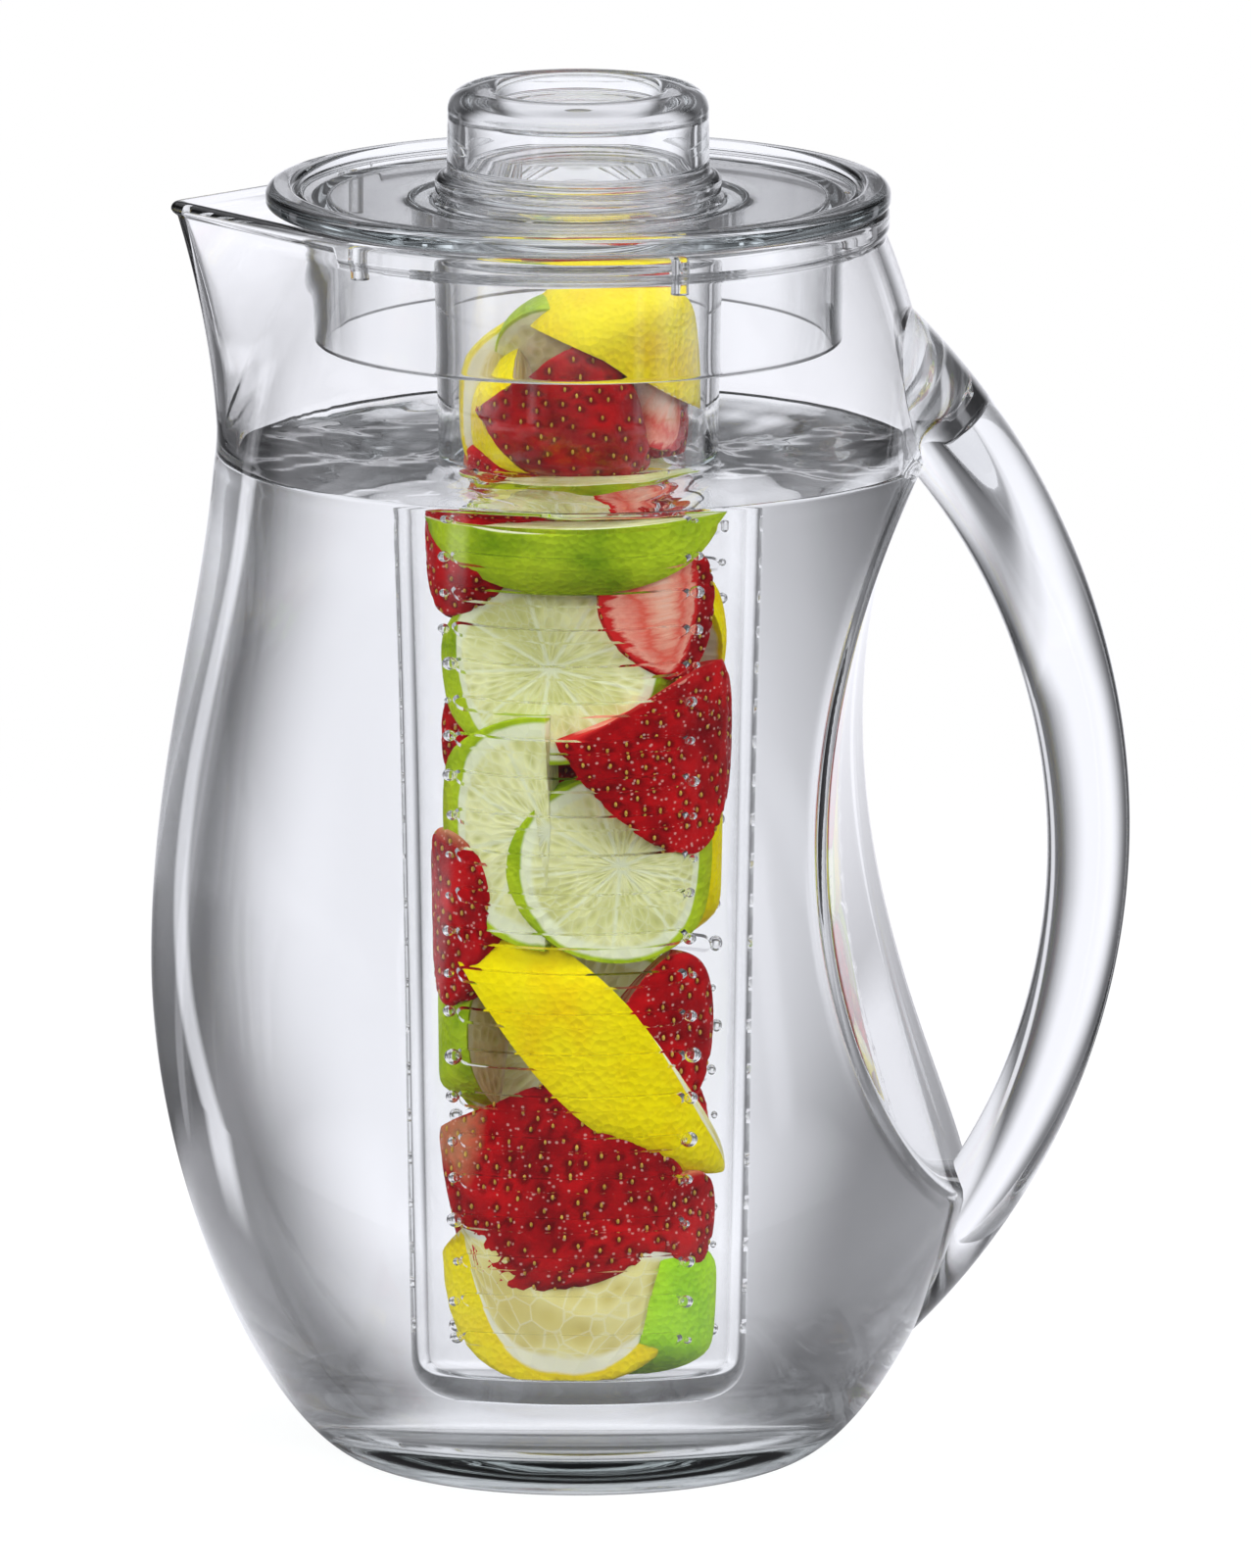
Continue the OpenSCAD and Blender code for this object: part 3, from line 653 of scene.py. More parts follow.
# ---------------------------------------------------------------------------
# Knob: a hollow clear cap with a dished top and a foot flange. Its thread takes the
# infuser's neck, and screwing it down clamps the lid between flange and infuser.
KNOB_R, KNOB_Z, KNOB_TOP, KNOB_T = 25.2, 246.7, 267.0, 3.6
DISH_R, DISH_H, DISH_T, FLANGE_R, FLANGE_H, CAVITY_Z = 15.6, 4.2, 2.6, 27.5, 3.6, 252.2
ceiling, dish_z, cav_r = KNOB_TOP - KNOB_T, KNOB_TOP - DISH_H, KNOB_R - KNOB_T
knob_profile = np.concatenate([
    between([HOLE_R + 0.2, KNOB_Z], [FLANGE_R - 0.5, KNOB_Z], 1.5),
    arc_points([FLANGE_R - 0.5, KNOB_Z + 0.5], 0.5, -90, 0, 4),
    arc_points([FLANGE_R - 1.4, KNOB_Z + FLANGE_H - 1.4], 1.4, 0, 75, 6),
    arc_points([KNOB_R + 1.0, KNOB_Z + FLANGE_H + 0.9], 1.0, -95, -175, 5),
    between([KNOB_R, KNOB_Z + FLANGE_H + 1.4], [KNOB_R - 0.15, KNOB_TOP - 4.4], 3),
    arc_points([KNOB_R - 4.5, KNOB_TOP - 4.4], 4.4, 2, 90, 14),
    arc_points([DISH_R + 2.4, KNOB_TOP - 2.4], 2.4, 92, 168, 8),
    cubic([DISH_R, KNOB_TOP - 2.8], [DISH_R - 0.6, dish_z + 0.6], [DISH_R - 3, dish_z + 0.1],
          [DISH_R - 6, dish_z], 8),
    between([DISH_R - 6.5, dish_z], [0, dish_z], 2.5),
    between([0, dish_z - DISH_T], [DISH_R - 3.2, dish_z - DISH_T], 2.5),
    arc_points([DISH_R - 2.6, dish_z - DISH_T + 2.6], 2.6, -90, -8, 7),
    arc_points([DISH_R + 1.6, ceiling - 1.6], 1.6, 172, 90, 5),
    arc_points([cav_r - 2.4, ceiling - 2.4], 2.4, 90, 0, 8),
    between([cav_r, ceiling - 2.8], [cav_r, CAVITY_Z + 0.4], 3),
    arc_points([cav_r + 0.4, CAVITY_Z + 0.4], 0.4, 180, 270, 3),
    [[HOLE_R, CAVITY_Z]], between([HOLE_R, CAVITY_Z], [HOLE_R, KNOB_Z + 0.3], 2)])
knob = lathe("knob_cap", knob_profile, 256)
knob.data.set_sharp_from_angle(angle=math.radians(35))
knob.data.materials.append(clear_plastic("knob_acrylic", ACRYLIC_IOR, (0.6, 0.82, 0.86), 5.0))
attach(knob, "knob")
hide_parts("knob")

inside_sizes = dict(thread_sizes, Root=(HOLE_R + 0.1) * MM, Start=0.2488)
knob_thread = grow_mesh("knob_thread", thread_tree, inside_sizes)
outward(knob_thread.data)
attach(knob_thread, "knob")

# ---------------------------------------------------------------------------
# Citrus: wedges and slices of lemon and lime, cut with a knife and packed into the
# infuser by hand, so they lie against its bore. Rind, white pith, and flesh in segments.
PLAY, PRESS, SEGMENTS, WHOLE, HALF_SLICE_HEART = 0.3, 0.7, 9, 180, 0.4
SIDE_POINTS, ARC_POINTS, FACE_RINGS = 9, 30, (0.25, 0.5, 0.7, 0.82, 0.9, 0.96, 0.99)


def settle(co, behind):
    """Presses points that would pass the infuser's wall back to its bore, or to the back
    of the fruit that lies against it there."""
    r = np.hypot(co[:, 0], co[:, 1])
    bore = tube_r(np.clip(co[:, 2], TUBE_Z, SHOULDER_TOP)) - TUBE_T - PLAY
    over = PRESS * np.logaddexp(0, (r - bore + behind + PRESS) / PRESS)
    k = (np.maximum(r - over, 0) / np.maximum(r, 1e-6))[:, None]
    low = np.maximum(co[:, 2:], TUBE_Z + TUBE_FLOOR + PLAY)
    return np.concatenate([co[:, :2] * k, low], 1)


def unit(v):
    return np.array(v, float) / np.linalg.norm(v)


def turned_to(points, along, out, at):
    """Local X goes along, local Z goes out, and the local origin goes to a point."""
    x = unit(along)
    z = unit(np.array(out, float) - np.dot(out, x) * x)
    return points @ np.stack([x, np.cross(z, x), z]) + np.array(at, float)


def sector_outline(beta):
    """Outline of a sector, core at the origin and rind at 1; a whole slice has no cut sides."""
    if beta == WHOLE:
        a = np.radians(np.linspace(-180, 180, ARC_POINTS * 2, endpoint=False))
        return np.sin(a), np.cos(a)
    b = math.radians(beta)
    t = np.linspace(0, 1, SIDE_POINTS, endpoint=False)
    share = np.concatenate([t, np.ones(ARC_POINTS), 1 - t[:-1] - 1 / SIDE_POINTS])
    arc_a = np.linspace(-b, b, ARC_POINTS)
    a = np.concatenate([np.full(SIDE_POINTS, -b), arc_a, np.full(SIDE_POINTS - 1, b)])
    return share * np.sin(a), share * np.cos(a)


def across(x, y, z):
    return np.stack([np.full_like(y, x), y, z], 1)


def citrus(name, material, at, along, out, length, radius, beta, behind, flat=False):
    """A wedge that tapers to its two ends, or a slice with flat faces; at is its rind's middle."""
    y, z = sector_outline(beta)
    if flat:
        heart = 0.0 if beta == WHOLE else HALF_SLICE_HEART
        levels = ([(-0.5, s) for s in FACE_RINGS] + [(x, 1.0) for x in np.linspace(-0.5, 0.5, 7)]
                  + [(0.5, s) for s in FACE_RINGS[::-1]])
        rings = [across(x, y * s, heart + (z - heart) * s) for x, s in levels]
        shape = places = np.concatenate(rings + [[(-0.5, 0, heart), (0.5, 0, heart)]])
    else:
        levels = -np.cos(math.pi * np.linspace(0, 1, 34)[1:-1])
        taper = [max(1 - abs(x) ** 2.3, 0.0) ** 0.62 for x in levels]
        rings = [across(x / 2, y * r, z * r) for x, r in zip(levels, taper)]
        shape = np.concatenate(rings + [[(-0.5, 0, 0), (0.5, 0, 0)]])
        places = np.concatenate([across(x, y, z) for x in levels] + [[(-1, 0, 0.9), (1, 0, 0.9)]])
    points = shape * [length, radius, radius] - [0, 0, 0 if beta == WHOLE else radius]
    mesh = closed_mesh(name, settle(turned_to(points, along, out, at), behind), len(y), place=places)
    mesh.materials.append(material)
    mesh.set_sharp_from_angle(angle=math.radians(48))
    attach(shown(name, mesh), "infuser")


def ramp(wire, *stops, mode="LINEAR"):
    """Colours, or greys where a stop has one number, by the value of a wire."""
    node = wire.tree.nodes.new("ShaderNodeValToRGB")
    band = node.color_ramp
    band.interpolation = mode
    band.elements.remove(band.elements[-1])
    for k, (position, tone) in enumerate(stops):
        stop = band.elements[0] if k == 0 else band.elements.new(position)
        stop.position = position
        stop.color = (*tone, 1) if isinstance(tone, tuple) else (tone, tone, tone, 1)
    put(node.inputs[0], wire)
    return Wire(node.outputs[0])


def blend(share, a, b):
    """Goes from one colour to another by the value of a wire."""
    a, b = ((*c, 1) if isinstance(c, tuple) else c for c in (a, b))
    return add(share.tree, "ShaderNodeMix", _data_type="RGBA", Factor=share, A=a, B=b)


def place_on_fruit(tree):
    """The place mark of a piece of fruit, and how far it is from the core."""
    mark = add(tree, "ShaderNodeAttribute", _attribute_name="place")["Vector"]
    place = add(tree, "ShaderNodeSeparateXYZ", mark)
    return place, maths("SQRT", place["Y"] * place["Y"] + place["Z"] * place["Z"])


def citrus_finish(name, zest, zest_dark, pith, flesh, flesh_deep, gloss):
    """Pored rind outside; inside, by share of the radius, pith and then juicy flesh with
    its skins between the segments. Gloss is the rind's index of refraction and its coat."""
    m, tree, where = new_material(name)
    place, rho = place_on_fruit(tree)
    uneven = rho + (noise(where, 260.0) - 0.5) * 0.05
    turn = maths("ARCTAN2", place["Y"], place["Z"])
    segment = maths("FRACT", turn / (2 * math.pi / SEGMENTS) + (SEGMENTS + 0.37))
    from_skin = (0.5 - maths("ABSOLUTE", segment - 0.5)) * rho
    drops_at = xyz(tree, place["X"] * 2.2, turn * 3.4, rho * 2.4)
    drops = add(tree, "ShaderNodeTexVoronoi", Vector=drops_at, Scale=2.6)
    threads = add(tree, "ShaderNodeTexVoronoi", _feature="DISTANCE_TO_EDGE", Vector=drops_at, Scale=2.6)
    pulp = ramp(drops, (0.0, flesh_deep), (0.55, flesh), (1.0, flesh))
    pulp = blend(ramp(noise(where, 75.0), (0.38, 0.75), (0.58, 0.0)), pulp, flesh_deep)
    pulp = blend(ramp(threads, (0.0, 0.5), (0.06, 0.0)), pulp, pith)
    pulp = blend(ramp(from_skin, (0.0, 0.85), (0.018, 0.6), (0.035, 0.0)), pulp, pith)
    inside = blend(ramp(uneven, (0.05, 1.0), (0.10, 0.0), (0.80, 0.0), (0.845, 1.0)), pulp, pith)
    pores = add(tree, "ShaderNodeTexVoronoi", Vector=where, Scale=850.0)
    rind = blend(ramp(noise(where, 90.0, 3.0), (0.3, 0.0), (0.56, 1.0)), zest_dark, zest)
    rind = blend(ramp(pores, (0.0, 0.25), (0.4, 0.0)), rind, zest_dark)
    colour = blend(ramp(uneven, (0.935, 0.0), (0.965, 1.0)), inside, rind)
    skin = maths("GREATER_THAN", rho, 0.985)
    relief = skin * pores + (1.0 - skin) * (drops * 0.9)
    bump = add(tree, "ShaderNodeBump", Strength=0.45, Distance=0.0007, Height=relief)
    rough = ramp(rho, (0.8, 0.22), (0.9, 0.5), (1.0, 0.38))
    surface = add(tree, "ShaderNodeBsdfPrincipled", Base__Color=colour, Roughness=rough,
                  IOR=gloss[0], Subsurface__Weight=0.35, Subsurface__Radius=(1.0, 1.0, 0.5),
                  Subsurface__Scale=0.0022, Coat__Weight=gloss[1], Coat__Roughness=0.15, Normal=bump)
    add(tree, "ShaderNodeOutputMaterial", Surface=surface)
    return m


# Fruit under water hardly shines, because water refracts nearly as much as its juice.
IN_AIR, IN_WATER = (1.36, 0.25), (1.05, 0.0)
LEMON = ((0.96, 0.77, 0.002), (0.88, 0.60, 0.0), (0.88, 0.84, 0.64), (0.84, 0.76, 0.34), (0.66, 0.54, 0.16))
LIME = ((0.46, 0.60, 0.02), (0.19, 0.32, 0.005), (0.82, 0.84, 0.58), (0.86, 0.85, 0.46), (0.60, 0.60, 0.22))
BRIGHT_LIME = ((0.45, 0.80, 0.02), (0.28, 0.60, 0.01), (0.84, 0.88, 0.58), (0.70, 0.74, 0.30),
               (0.48, 0.56, 0.14))
lemon, lemon_dry = citrus_finish("lemon", *LEMON, IN_WATER), citrus_finish("lemon_dry", *LEMON, IN_AIR)
lime, lime_dry = citrus_finish("lime", *LIME, IN_WATER), citrus_finish("lime_dry", *LIME, IN_AIR)
bright_lime = citrus_finish("bright_lime", *BRIGHT_LIME, IN_WATER)

# From the mouth of the infuser down, first in front and then at the back: name, fruit, the
# middle of the rind, the direction of the core, the direction that the rind faces, length,
# radius, half angle of the cut, room left behind it, and whether it is a slice.
CITRUS_PIECES = (
    ("lemon_top_right", lemon_dry, (13, -20, 226), (0.90, 0.0, -0.42), (0.1, -0.75, 0.65), 40, 21, 30, 0),
    ("lemon_top_left", lemon_dry, (-22, 2, 208), (0.10, -0.05, 1.0), (-0.93, 0.36, 0.0), 40, 22, 32, 0.5),
    ("lime_top", lime_dry, (-9, -4, 226), (0.75, -0.3, 0.55), (-0.6, 0.3, 0.75), 26, 15, 36, 3),
    ("lemon_low_left", lemon_dry, (-15, -17, 199), (0.42, 0.1, -0.90), (-0.72, -0.68, -0.15), 30, 18, 28,
     1.7),
    ("lime_crescent", lime, (1, -23, 178), (1.0, 0.0, 0.05), (0, -0.90, -0.43), 47, 19, 22, 0),
    ("lime_round_back", lime, (-3, -12, 156), (-0.10, -1.0, 0.2), (0, 0, 1), 7, 18.5, WHOLE, 1.8, True),
    ("lime_half", lime, (-24, -13, 126), (-0.22, -0.97, 0.02), (-1, 0.2, 0), 7, 22, 88, 1.0, True),
    ("lime_round", lime, (7, -15, 119), (0.26, -0.96, 0.06), (0, 0, 1), 5, 17.5, WHOLE, 0.5, True),
    ("lemon_right", lemon, (23, -3, 122), (0.05, 0.1, 1.0), (0.9, -0.43, 0), 44, 17, 28, 1.2),
    ("lemon_diagonal", lemon, (3.0, -23, 87), (0.66, 0.0, -0.75), (0.12, -0.98, -0.08), 62, 26, 22, 0),
    ("lime_left_low", lime, (-22, -6, 89), (0.1, 0.3, 0.9), (-0.8, -0.6, 0), 24, 15, 30, 1.2),
    ("lime_bright", bright_lime, (20, -12, 38), (0.22, 0.1, 1.0), (0.85, -0.52, 0), 30, 16, 34, 0.4),
    ("lemon_bottom", lemon, (-3, -5, 27), (1.0, 0.0, -0.10), (-0.05, 0.42, -0.9), 47, 27, 44, 0.9),
    ("lemon_back_top", lemon_dry, (2, 22, 214), (0.8, 0.0, 0.5), (0.1, 1.0, 0.1), 40, 19, 34, 0),
    ("lime_back", lime, (-4, 22, 186), (0.9, 0.1, -0.4), (-0.2, 1.0, 0), 40, 18, 30, 0.8),
    ("lemon_round_back", lemon, (3, 13, 158), (0.2, 1.0, 0.1), (0, 0, 1), 8, 18.5, WHOLE, 0, True),
    ("lemon_back_mid", lemon, (5, 22, 112), (0.5, 0.0, 0.85), (0.2, 1.0, 0), 46, 19, 30, 0),
    ("lime_round_low", lime, (-2, 13, 84), (-0.15, 1.0, 0.1), (0, 0, 1), 7, 18, WHOLE, 0, True),
    ("lemon_round_low", lemon, (2, 12, 52), (0.1, 1.0, -0.1), (0, 0, 1), 8, 17.5, WHOLE, 1.5, True))
for row in CITRUS_PIECES:
    citrus(*row)

# ---------------------------------------------------------------------------
# Strawberries: whole, halved and sliced. Each is a soft cone with small yellow seeds
# that sit in dimples; a cut face is pale in the middle and streaked towards the skin.
BERRY_COLUMNS = 72


def berry_finish(name, deep, bright, gloss, glint_share):
    """Red skin with painted shade in its dimples, and under water pale specks of the gas that clings to it,
    painted as its glints;
    a cut face is pale in its heart. Gloss is the skin's index of refraction and its coat."""
    m, tree, where = new_material(name)
    place, rho = place_on_fruit(tree)
    pit, cut_face = (add(tree, "ShaderNodeAttribute", _attribute_name=mark)["Fac"] for mark in ("pit", "cut"))
    skin = blend(ramp(noise(where, 120.0, 4.0, 0.6), (0.3, 0.0), (0.7, 1.0)), deep, bright)
    # Painted shade: the skin is darkened in the dimples round the seeds, by the pit mark.
    skin = blend(ramp(pit, (0.0, 0.0), (0.55, 0.75), (0.9, 0.2)), skin, (0.10, 0.001, 0.002))
    # Painted highlight: pale specks of the gas on the skin, painted into its colour as the glints the gas
    # gives under water.
    gas = add(tree, "ShaderNodeTexVoronoi", Vector=where, Scale=760.0)
    skin = blend(ramp(gas, (0.0, glint_share), (0.15, glint_share), (0.24, 0.0)), skin, (0.95, 0.62, 0.55))
    skin = blend(ramp(place["X"], (0.0, 0.6), (0.03, 0.3), (0.08, 0.0)), skin, (0.80, 0.45, 0.22))
    streak = noise(xyz(tree, place["X"] * 9.0, rho * 1.2), 2.4, 3.0, 0.6)
    meat = ramp(rho + (streak - 0.5) * 0.6, (0.05, (0.88, 0.62, 0.50)), (0.28, (0.90, 0.42, 0.30)),
                (0.52, (0.78, 0.12, 0.08)), (0.78, (0.86, 0.35, 0.26)), (0.92, (0.62, 0.02, 0.02)))
    bump = add(tree, "ShaderNodeBump", Strength=0.4, Distance=0.0006, Height=noise(where, 900.0))
    surface = add(tree, "ShaderNodeBsdfPrincipled", Base__Color=blend(cut_face, skin, meat), Roughness=0.22,
                  IOR=gloss[0], Subsurface__Weight=0.12, Subsurface__Radius=(1.0, 0.25, 0.15),
                  Subsurface__Scale=0.0025, Coat__Weight=gloss[1], Coat__Roughness=0.12, Normal=bump)
    add(tree, "ShaderNodeOutputMaterial", Surface=surface)
    return m


red_skin = berry_finish("strawberry", (0.20, 0.001, 0.004), (0.66, 0.006, 0.009), IN_WATER, 0.45)
red_dry = berry_finish("strawberry_dry", (0.20, 0.001, 0.004), (0.62, 0.006, 0.008), (1.38, 0.4), 0.0)
seed_skin, tree, where = new_material("strawberry_seed")
seed_tone = ramp(noise(where, 300.0), (0.3, (0.45, 0.22, 0.02)), (0.7, (0.78, 0.52, 0.09)))
add(tree, "ShaderNodeOutputMaterial",
    Surface=add(tree, "ShaderNodeBsdfPrincipled", Base__Color=seed_tone, Roughness=0.35))

# Seeds: scattered over the skin a little apart, each sunk into a dimple pressed round it.
seed_sizes = {"Spacing": 0.0023, "Seed Length": 0.00105, "Dimple": 0.0005, "Pattern": 1, "Skin": red_skin}
seed_tree, size, out = node_tree("berry_seeds", seed_sizes)
on_skin = maths("LESS_THAN", add(seed_tree, "GeometryNodeInputNamedAttribute", Name="cut"), 0.3)
dots = add(seed_tree, "GeometryNodeDistributePointsOnFaces", size["Geometry"], on_skin,
           _distribute_method="POISSON", Distance__Min=size["Spacing"], Density__Max=260000.0,
           Seed=size["Pattern"])
near = add(seed_tree, "GeometryNodeProximity", dots, _target_element="POINTS")["Distance"]
pressed = smooth_map(near / size["Spacing"], 0.05, 0.55, 1.0, 0.0) * on_skin
sink = add(seed_tree, "ShaderNodeVectorMath", add(seed_tree, "GeometryNodeInputNormal"), _operation="SCALE",
           Scale=pressed * size["Dimple"] * -1.0)
# The pit mark is how deep each point lies in a dimple; the skin paints shade there by it.
marked = add(seed_tree, "GeometryNodeStoreNamedAttribute", size["Geometry"], Name="pit", Value=pressed)
dimpled = add(seed_tree, "GeometryNodeSetPosition", marked, Offset=sink)
seed_ball = add(seed_tree, "GeometryNodeMeshUVSphere", Segments=8, Rings=5, Radius=0.5)
seed_length = size["Seed Length"]
flat_seed = add(seed_tree, "GeometryNodeTransform", seed_ball,
                Scale=xyz(seed_tree, seed_length * 0.5, seed_length, seed_length * 0.45))
sunk = add(seed_tree, "ShaderNodeVectorMath", dots["Normal"], _operation="SCALE",
           Scale=size["Dimple"] * -0.55)
low_dots = add(seed_tree, "GeometryNodeSetPosition", dots, Offset=sunk)
seeds = add(seed_tree, "GeometryNodeInstanceOnPoints", low_dots, Instance=flat_seed,
            Rotation=dots["Rotation"])


def joined(*parts):
    """One geometry from several, in their order."""
    node = parts[0].tree.nodes.new("GeometryNodeJoinGeometry")
    for geometry in parts:
        put(node.inputs[0], geometry)
    return Wire(node.outputs[0])


put(out, joined(painted(dimpled, size["Skin"]), painted(seeds, seed_skin)))


def girth(v):
    """How thick a berry is at a share of its length, in shares of its width."""
    return 2.07 * v ** 0.45 * (1 - v) ** 0.62


def strawberry(name, at, tip_way, length, width, pattern, behind, cut=(), skin=red_skin):
    """A berry from its stem end to its tip. A cut says which way its flat face looks, how far
    from the middle the knife went, in shares of the width, and whether it shows pale meat."""
    a = np.arange(BERRY_COLUMNS) * 2 * math.pi / BERRY_COLUMNS
    places = []
    for v in 0.5 - 0.5 * np.cos(math.pi * np.linspace(0, 1, 60)[1:-1]):
        r = girth(v) * (1 + 0.035 * np.sin(2 * a + pattern) + 0.02 * np.sin(3 * a + 2.0 * pattern + 4 * v))
        places.append(across(v, r * np.sin(a), r * np.cos(a)))
    places = np.concatenate(places + [[(0, 0, 0), (1, 0, 0)]])
    points = (places - [0.5, 0, 0]) * [length, width / 2, width / 2]
    centre, axis = np.array(at, float), unit(tip_way)
    co = turned_to(points, tip_way, (0.13, -0.2, 1.0) if abs(axis[2]) < 0.9 else (0.2, -1.0, 0.1), at)
    pale_face = np.zeros(len(co))
    for way, share, pale in cut:
        depth = (co - centre) @ unit(way) - share * width / 2
        pale_face = np.maximum(pale_face, (depth > -0.02) * pale)
        co = co - np.outer(np.maximum(depth, 0), unit(way))
    if cut:
        along = (co - centre) @ axis
        off_axis = np.linalg.norm(co - centre - np.outer(along, axis), axis=1)
        v = np.clip(along / length + 0.5, 0.02, 0.98)
        rho = np.clip(off_axis / np.maximum(girth(v) * width / 2, 0.3), 0, 1)
        places = np.stack([v, rho, 0 * v], 1)
    plain = closed_mesh(name + "_plain", settle(co, behind), len(a), place=places, cut=pale_face)
    berry = grow_mesh(name, seed_tree, dict(seed_sizes, Pattern=pattern, Skin=skin), plain)
    berry.data.set_sharp_from_angle(angle=math.radians(55))
    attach(berry, "infuser")


# From the mouth down: name, middle, the way of the tip, length, width, pattern, room left
# behind it, its cuts, and the dry skin of those above the water.
BERRIES = (
    ("berry_top", (-0.5, -12, 206), (0.62, -0.1, -0.76), 38, 31, 1, 0.1,
     (((-0.54, 0.2, 0.84), 0.62, 0), ((0.97, 0.3, 0.24), 0.72, 0), ((-0.7, 0.3, -0.71), 0.72, 0)), red_dry),
    ("berry_slice_top", (17, -12, 208), (0.75, 0.1, -0.5), 25, 19, 2, 2.0,
     (((0.1, -1, 0.2), 0.1, 1),), red_dry),
    ("berry_water_line", (-13, -9, 191), (0.8, -0.2, -0.2), 22, 16, 3, 1.1),
    ("berry_left_high", (-18, -9, 178), (0.1, 0.1, -1.0), 26, 19, 4, 0.9),
    ("berry_slice_high", (15, -14, 168), (0.15, 0.0, -1.0), 28, 21, 5, 1.2, (((0.15, -1, 0.1), 0.25, 1),)),
    ("berry_big_right", (14, -12, 141), (0.42, -0.1, -0.88), 44, 32, 6, 0.0,
     (((-0.45, -0.1, 0.9), 0.62, 1), ((-0.8, 0.25, -0.6), 0.62, 0))),
    ("berry_dark_left", (-18, -8, 108), (0.0, 0.1, -1.0), 33, 20, 7, 0.6),
    ("berry_right_low", (14, -11, 89), (0.3, -0.1, -0.95), 28, 22, 8, 1.2, (((-0.8, -0.1, 0.6), 0.7, 1),)),
    ("berry_big_low", (-3, -11, 61), (0.86, -0.1, -0.38), 42, 44, 9, 0.9,
     (((-0.35, 0.2, 0.94), 0.74, 0), ((-0.92, 0.3, -0.3), 0.76, 0))),
    ("berry_small_low", (17, -9, 55), (0.1, 0.0, -1.0), 18, 14, 10, 0.5),
    ("berry_back_top", (8, 9, 224), (0.6, 0.4, 0.5), 26, 20, 11, 3.0, (), red_dry),
    ("berry_back_high", (10, 10, 197), (-0.5, 0.3, -0.8), 30, 22, 12, 1.5),
    ("berry_back_mid", (-9, 10, 134), (0.2, 0.2, -1.0), 34, 24, 13, 1.5),
    ("berry_back_low", (6, 9, 66), (-0.3, 0.2, -0.9), 30, 24, 14, 1.5))
for row in BERRIES:
    strawberry(*row)

# ---------------------------------------------------------------------------
# Air bubbles: one clings to each end of every slot under water, in the front and in the
# back wall of the infuser. They are drops of air, which the water around them outlines.
air, tree, where = new_material("air_bubble")
film = add(tree, "ShaderNodeBump", Strength=0.02, Distance=0.0002, Height=noise(where, 400.0))
air_ball = add(tree, "ShaderNodeBsdfPrincipled", Base__Color=(1, 1, 1, 1), Roughness=0.0, IOR=0.752,
               Transmission__Weight=1.0, Normal=film)
add(tree, "ShaderNodeOutputMaterial", Surface=lamps_pass(air_ball, (0.97, 0.97, 0.97)))

bubble_sizes = {
    "Rows": 22, "Pitch": SLOT_PITCH * MM, "First": SLOT_Z * MM, "Size": 0.00105, "Half Width": 0.0175,
    "Depth": 0.0158, "Widening": slot_sizes["Widening"], "Pattern": 4}
tree, size, out = node_tree("slot_bubbles", bubble_sizes, geometry_in=False)
rows = rows_up(tree, size["Rows"], size["First"], size["Pitch"])
spread = wider(tree, size["Pitch"], size["Widening"])
ends = joined(*(
    add(tree, "GeometryNodeSetPosition", rows,
        Offset=xyz(tree, size["Half Width"] * side * spread, size["Depth"] * wall * spread))
    for side in (-1.0, 1.0) for wall in (-1.0, 1.0)))
jitter = add(tree, "FunctionNodeRandomValue", _data_type="FLOAT_VECTOR", Min=(-0.0005, -0.0003, -0.0006),
             Max=(0.0005, 0.0003, 0.0006), Seed=size["Pattern"])
shaken = add(tree, "GeometryNodeSetPosition", ends, Offset=jitter)
bigger = add(tree, "FunctionNodeRandomValue", _data_type="FLOAT", Min=0.55, Max=1.35,
             Seed=size["Pattern"] + 3)
ball = add(tree, "GeometryNodeMeshIcoSphere", Radius=size["Size"], Subdivisions=3)
put(out, painted(add(tree, "GeometryNodeInstanceOnPoints", shaken, Instance=ball, Scale=bigger), air))
bubbles = grow_mesh("slot_bubbles", tree, bubble_sizes)
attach(bubbles, "infuser")

# ---------------------------------------------------------------------------
# Studio: a plain pale table in a room with white panels. The camera sees both white. Clear
# pieces see the panels and the grey of the room between them, which draws their edges.
PANEL_AT, PANEL_IN, PANEL_OUT, PANEL_LIGHT, ROOM_LIGHT = math.radians(1.5), 8.0, 30.0, 1.06, 0.14
STRIP_AT, STRIP_IN, STRIP_OUT, STRIP_LIGHT, RIGHT_STEEPER = 33.5, 1.5, 4.5, 0.85, 1.17
# Ceiling light, table light, and the light left in the painted shade straight under the pitcher.
CEILING_LIGHT, TABLE_LIGHT, PAINTED_SHADE_UNDER = 0.85, 0.95, 0.12
BY_HEIGHT = ((0.0, 0.10), (0.05, 0.14), (0.11, 0.6), (0.2, 0.85), (0.32, 0.97), (0.49, 1.0), (0.525, 0.8),
             (0.57, 0.22), (0.64, 0.13), (1.0, 0.13))
MIRRORED_FRONT, STRAIGHT_FRONT, ROOM_TINT = 0.10, 0.85, (0.975, 0.98, 1.045)
MIDDLE, TABLE_LOW = Vector((0, 0, 0.12)), -0.0004


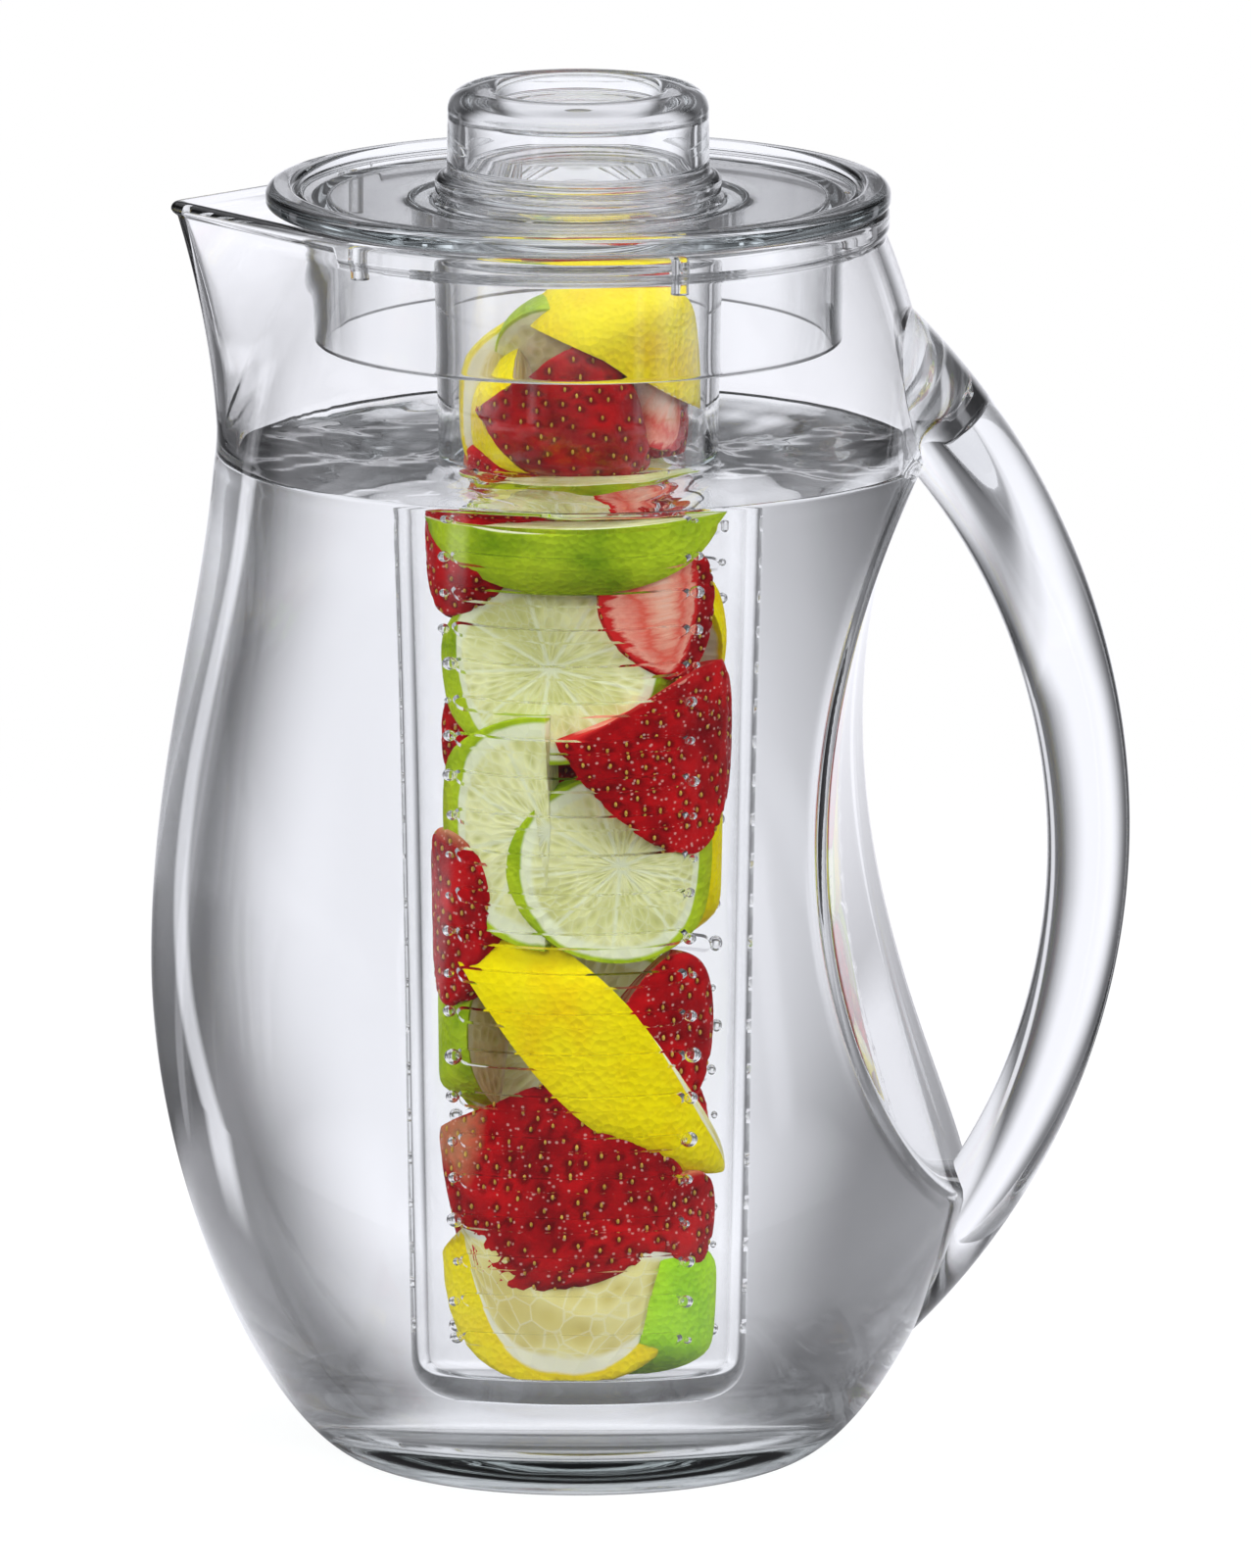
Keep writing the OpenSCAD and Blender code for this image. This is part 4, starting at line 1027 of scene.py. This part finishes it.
def studio_group():
    """How bright the room is in a direction: four panels round the object, each with a strip
    beside it, the table, with painted shade straight down under the object, and a ceiling. A ray
    that was mirrored inside a piece before it left is not Straight, and finds the front dim."""
    tree = bpy.data.node_groups.new("studio", "ShaderNodeTree")
    for name, in_out, kind in (
            ("Way", "INPUT", "Vector"), ("Straight", "INPUT", "Float"), ("Color", "OUTPUT", "Color")):
        tree.interface.new_socket(name, in_out=in_out, socket_type="NodeSocket" + kind)
    asked = Wire(tree.nodes.new("NodeGroupInput").outputs[0])
    part = add(tree, "ShaderNodeSeparateXYZ", vectors("NORMALIZE", asked["Way"]))
    up = part["Z"]
    turn = maths("ARCTAN2", part["X"], part["Y"])
    side = (maths("FRACT", (turn - PANEL_AT) / (math.pi / 2) + 8.5) - 0.5) * 90.0
    panel = smooth_map(maths("MAXIMUM", side * RIGHT_STEEPER, side * -1.0), PANEL_IN, PANEL_OUT,
                       PANEL_LIGHT, ROOM_LIGHT)
    strip = smooth_map(maths("ABSOLUTE", side - STRIP_AT), STRIP_IN, STRIP_OUT, STRIP_LIGHT, 0.0)
    strip_height = smooth_map(up, 0.02, 0.12, 1.0, 0.0) * smooth_map(up, -0.6, -0.4, 0.0, 1.0)
    # The table's light, with painted shade where a ray looks straight down under the pitcher.
    table = smooth_map(up, -0.52, -0.36, TABLE_LIGHT, 0.0) * smooth_map(up, -0.93, -0.8, PAINTED_SHADE_UNDER, 1.0)
    front_light = asked["Straight"] * (STRAIGHT_FRONT - MIRRORED_FRONT) + MIRRORED_FRONT
    front = smooth_map(part["Y"], -0.75, -0.3, front_light, 1.0)
    light = maths("MAXIMUM", panel * ramp(up * 0.5 + 0.5, *BY_HEIGHT, mode="EASE"), table) * front
    light = maths("MAXIMUM", light, smooth_map(up, 0.3, 0.6, 0.06, CEILING_LIGHT))
    light = maths("MAXIMUM", light, strip * strip_height)
    tint = add(tree, "ShaderNodeCombineColor", *(light * share for share in ROOM_TINT))
    put(tree.nodes.new("NodeGroupOutput").inputs[0], tint)
    return tree


studio = studio_group()


def room(tree, way):
    """The room's light in a direction, whether a ray came off or through a piece, and
    whether it came from the camera."""
    path = add(tree, "ShaderNodeLightPath")
    seen = tree.nodes.new("ShaderNodeGroup")
    seen.node_tree = studio
    put(seen.inputs["Way"], way)
    put(seen.inputs["Straight"], maths("LESS_THAN", path["Glossy Depth"], 0.5))
    bent = maths("MAXIMUM", path["Is Glossy Ray"], path["Is Transmission Ray"])
    return Wire(seen.outputs[0]), bent, path["Is Camera Ray"]


world = bpy.data.worlds.new("studio_room")
bpy.context.scene.world = world
world.use_nodes = True
tree = world.node_tree
tree.nodes.clear()
light, bent, from_camera = room(tree, add(tree, "ShaderNodeTexCoord")["Generated"])
soft = blend(bent, (0.5, 0.5, 0.51), light)
walls = add(tree, "ShaderNodeBackground", Color=blend(from_camera, soft, (1.0, 1.0, 1.0)), Strength=1.0)
add(tree, "ShaderNodeOutputWorld", Surface=walls)

bm = bmesh.new()
bmesh.ops.create_circle(bm, cap_ends=True, segments=96, radius=7.0)
table_mesh = bpy.data.meshes.new("table_top")
bm.to_mesh(table_mesh)
bm.free()
table_mesh.transform(Matrix.Translation((0, 0, TABLE_LOW)))
table_finish, tree, where = new_material("pale_table")
grain = blend(noise(where, 60.0, 3.0), (0.80, 0.80, 0.81), (0.86, 0.86, 0.87))
plain = add(tree, "ShaderNodeBsdfDiffuse", Color=grain)
glow = add(tree, "ShaderNodeEmission", Color=(1, 1, 1, 1), Strength=1.0)
whiter = smooth_map(vectors("LENGTH", where), 0.12, 0.75, 0.72, 1.0)
# For rays that come off or through a piece, the table glows with the room's light. This is painted light, and
# it includes the painted shade under the pitcher.
light, bent, from_camera = room(tree, vectors("SUBTRACT", where, MIDDLE))
panels = add(tree, "ShaderNodeEmission", Color=light, Strength=1.0)
by_pieces = add(tree, "ShaderNodeMixShader", bent, plain, panels)
by_camera = add(tree, "ShaderNodeMixShader", whiter, plain, glow)
top = add(tree, "ShaderNodeMixShader", from_camera, by_pieces, by_camera)
add(tree, "ShaderNodeOutputMaterial", Surface=top)
table_mesh.materials.append(table_finish)
shown("table_top", table_mesh)

# Soft lamps that look at the middle of the pitcher: name, place, size and watts.
LAMPS = (
    ("top_panel", (0.25, -0.35, 1.7), (1.1, 1.1), 28.0),
    ("left_panel", (-1.35, -0.5, 0.6), (0.35, 1.0), 11.0),
    ("right_panel", (1.35, -0.35, 0.6), (0.35, 1.0), 11.0),
    ("front_panel", (-0.5, -2.2, 1.3), (0.9, 0.9), 28.0))
for name, at, (wide, high), watts in LAMPS:
    lamp = bpy.data.lights.new(name, "AREA")
    lamp.shape, lamp.size, lamp.size_y, lamp.energy = "RECTANGLE", wide, high, watts
    panel = shown(name, lamp)
    panel.location = at
    panel.rotation_euler = (MIDDLE - Vector(at)).to_track_quat("-Z", "Y").to_euler()
    panel.visible_glossy = panel.visible_transmission = False

# Camera: where the photograph was taken from, by its focal length and height in pixels.
FOCAL_PX, PHOTO_H_PX, SENSOR_MM = 27154.7, 1600.0, 36.0
TURN, RISE, FAR, AIM_OUT, AIM_UP = math.radians(3.73), math.radians(11.16), 5.1228, 0.00906, 0.13092
lens = bpy.data.cameras.new("camera")
lens.sensor_fit, lens.sensor_height, lens.lens = "VERTICAL", SENSOR_MM, FOCAL_PX * SENSOR_MM / PHOTO_H_PX
lens.clip_start, lens.clip_end = 0.05, 60.0
camera = shown("camera", lens)
away = Vector((math.sin(TURN) * math.cos(RISE), -math.cos(TURN) * math.cos(RISE), math.sin(RISE)))
camera.location = Vector((AIM_OUT * math.cos(TURN), AIM_OUT * math.sin(TURN), AIM_UP)) + away * FAR
camera.rotation_euler = (-away).to_track_quat("-Z", "Y").to_euler()
scene = bpy.context.scene
scene.camera = camera
scene.view_settings.view_transform = "Standard"
scene.cycles.max_bounces = scene.cycles.transmission_bounces = scene.cycles.transparent_max_bounces = 28
scene.cycles.glossy_bounces = 8
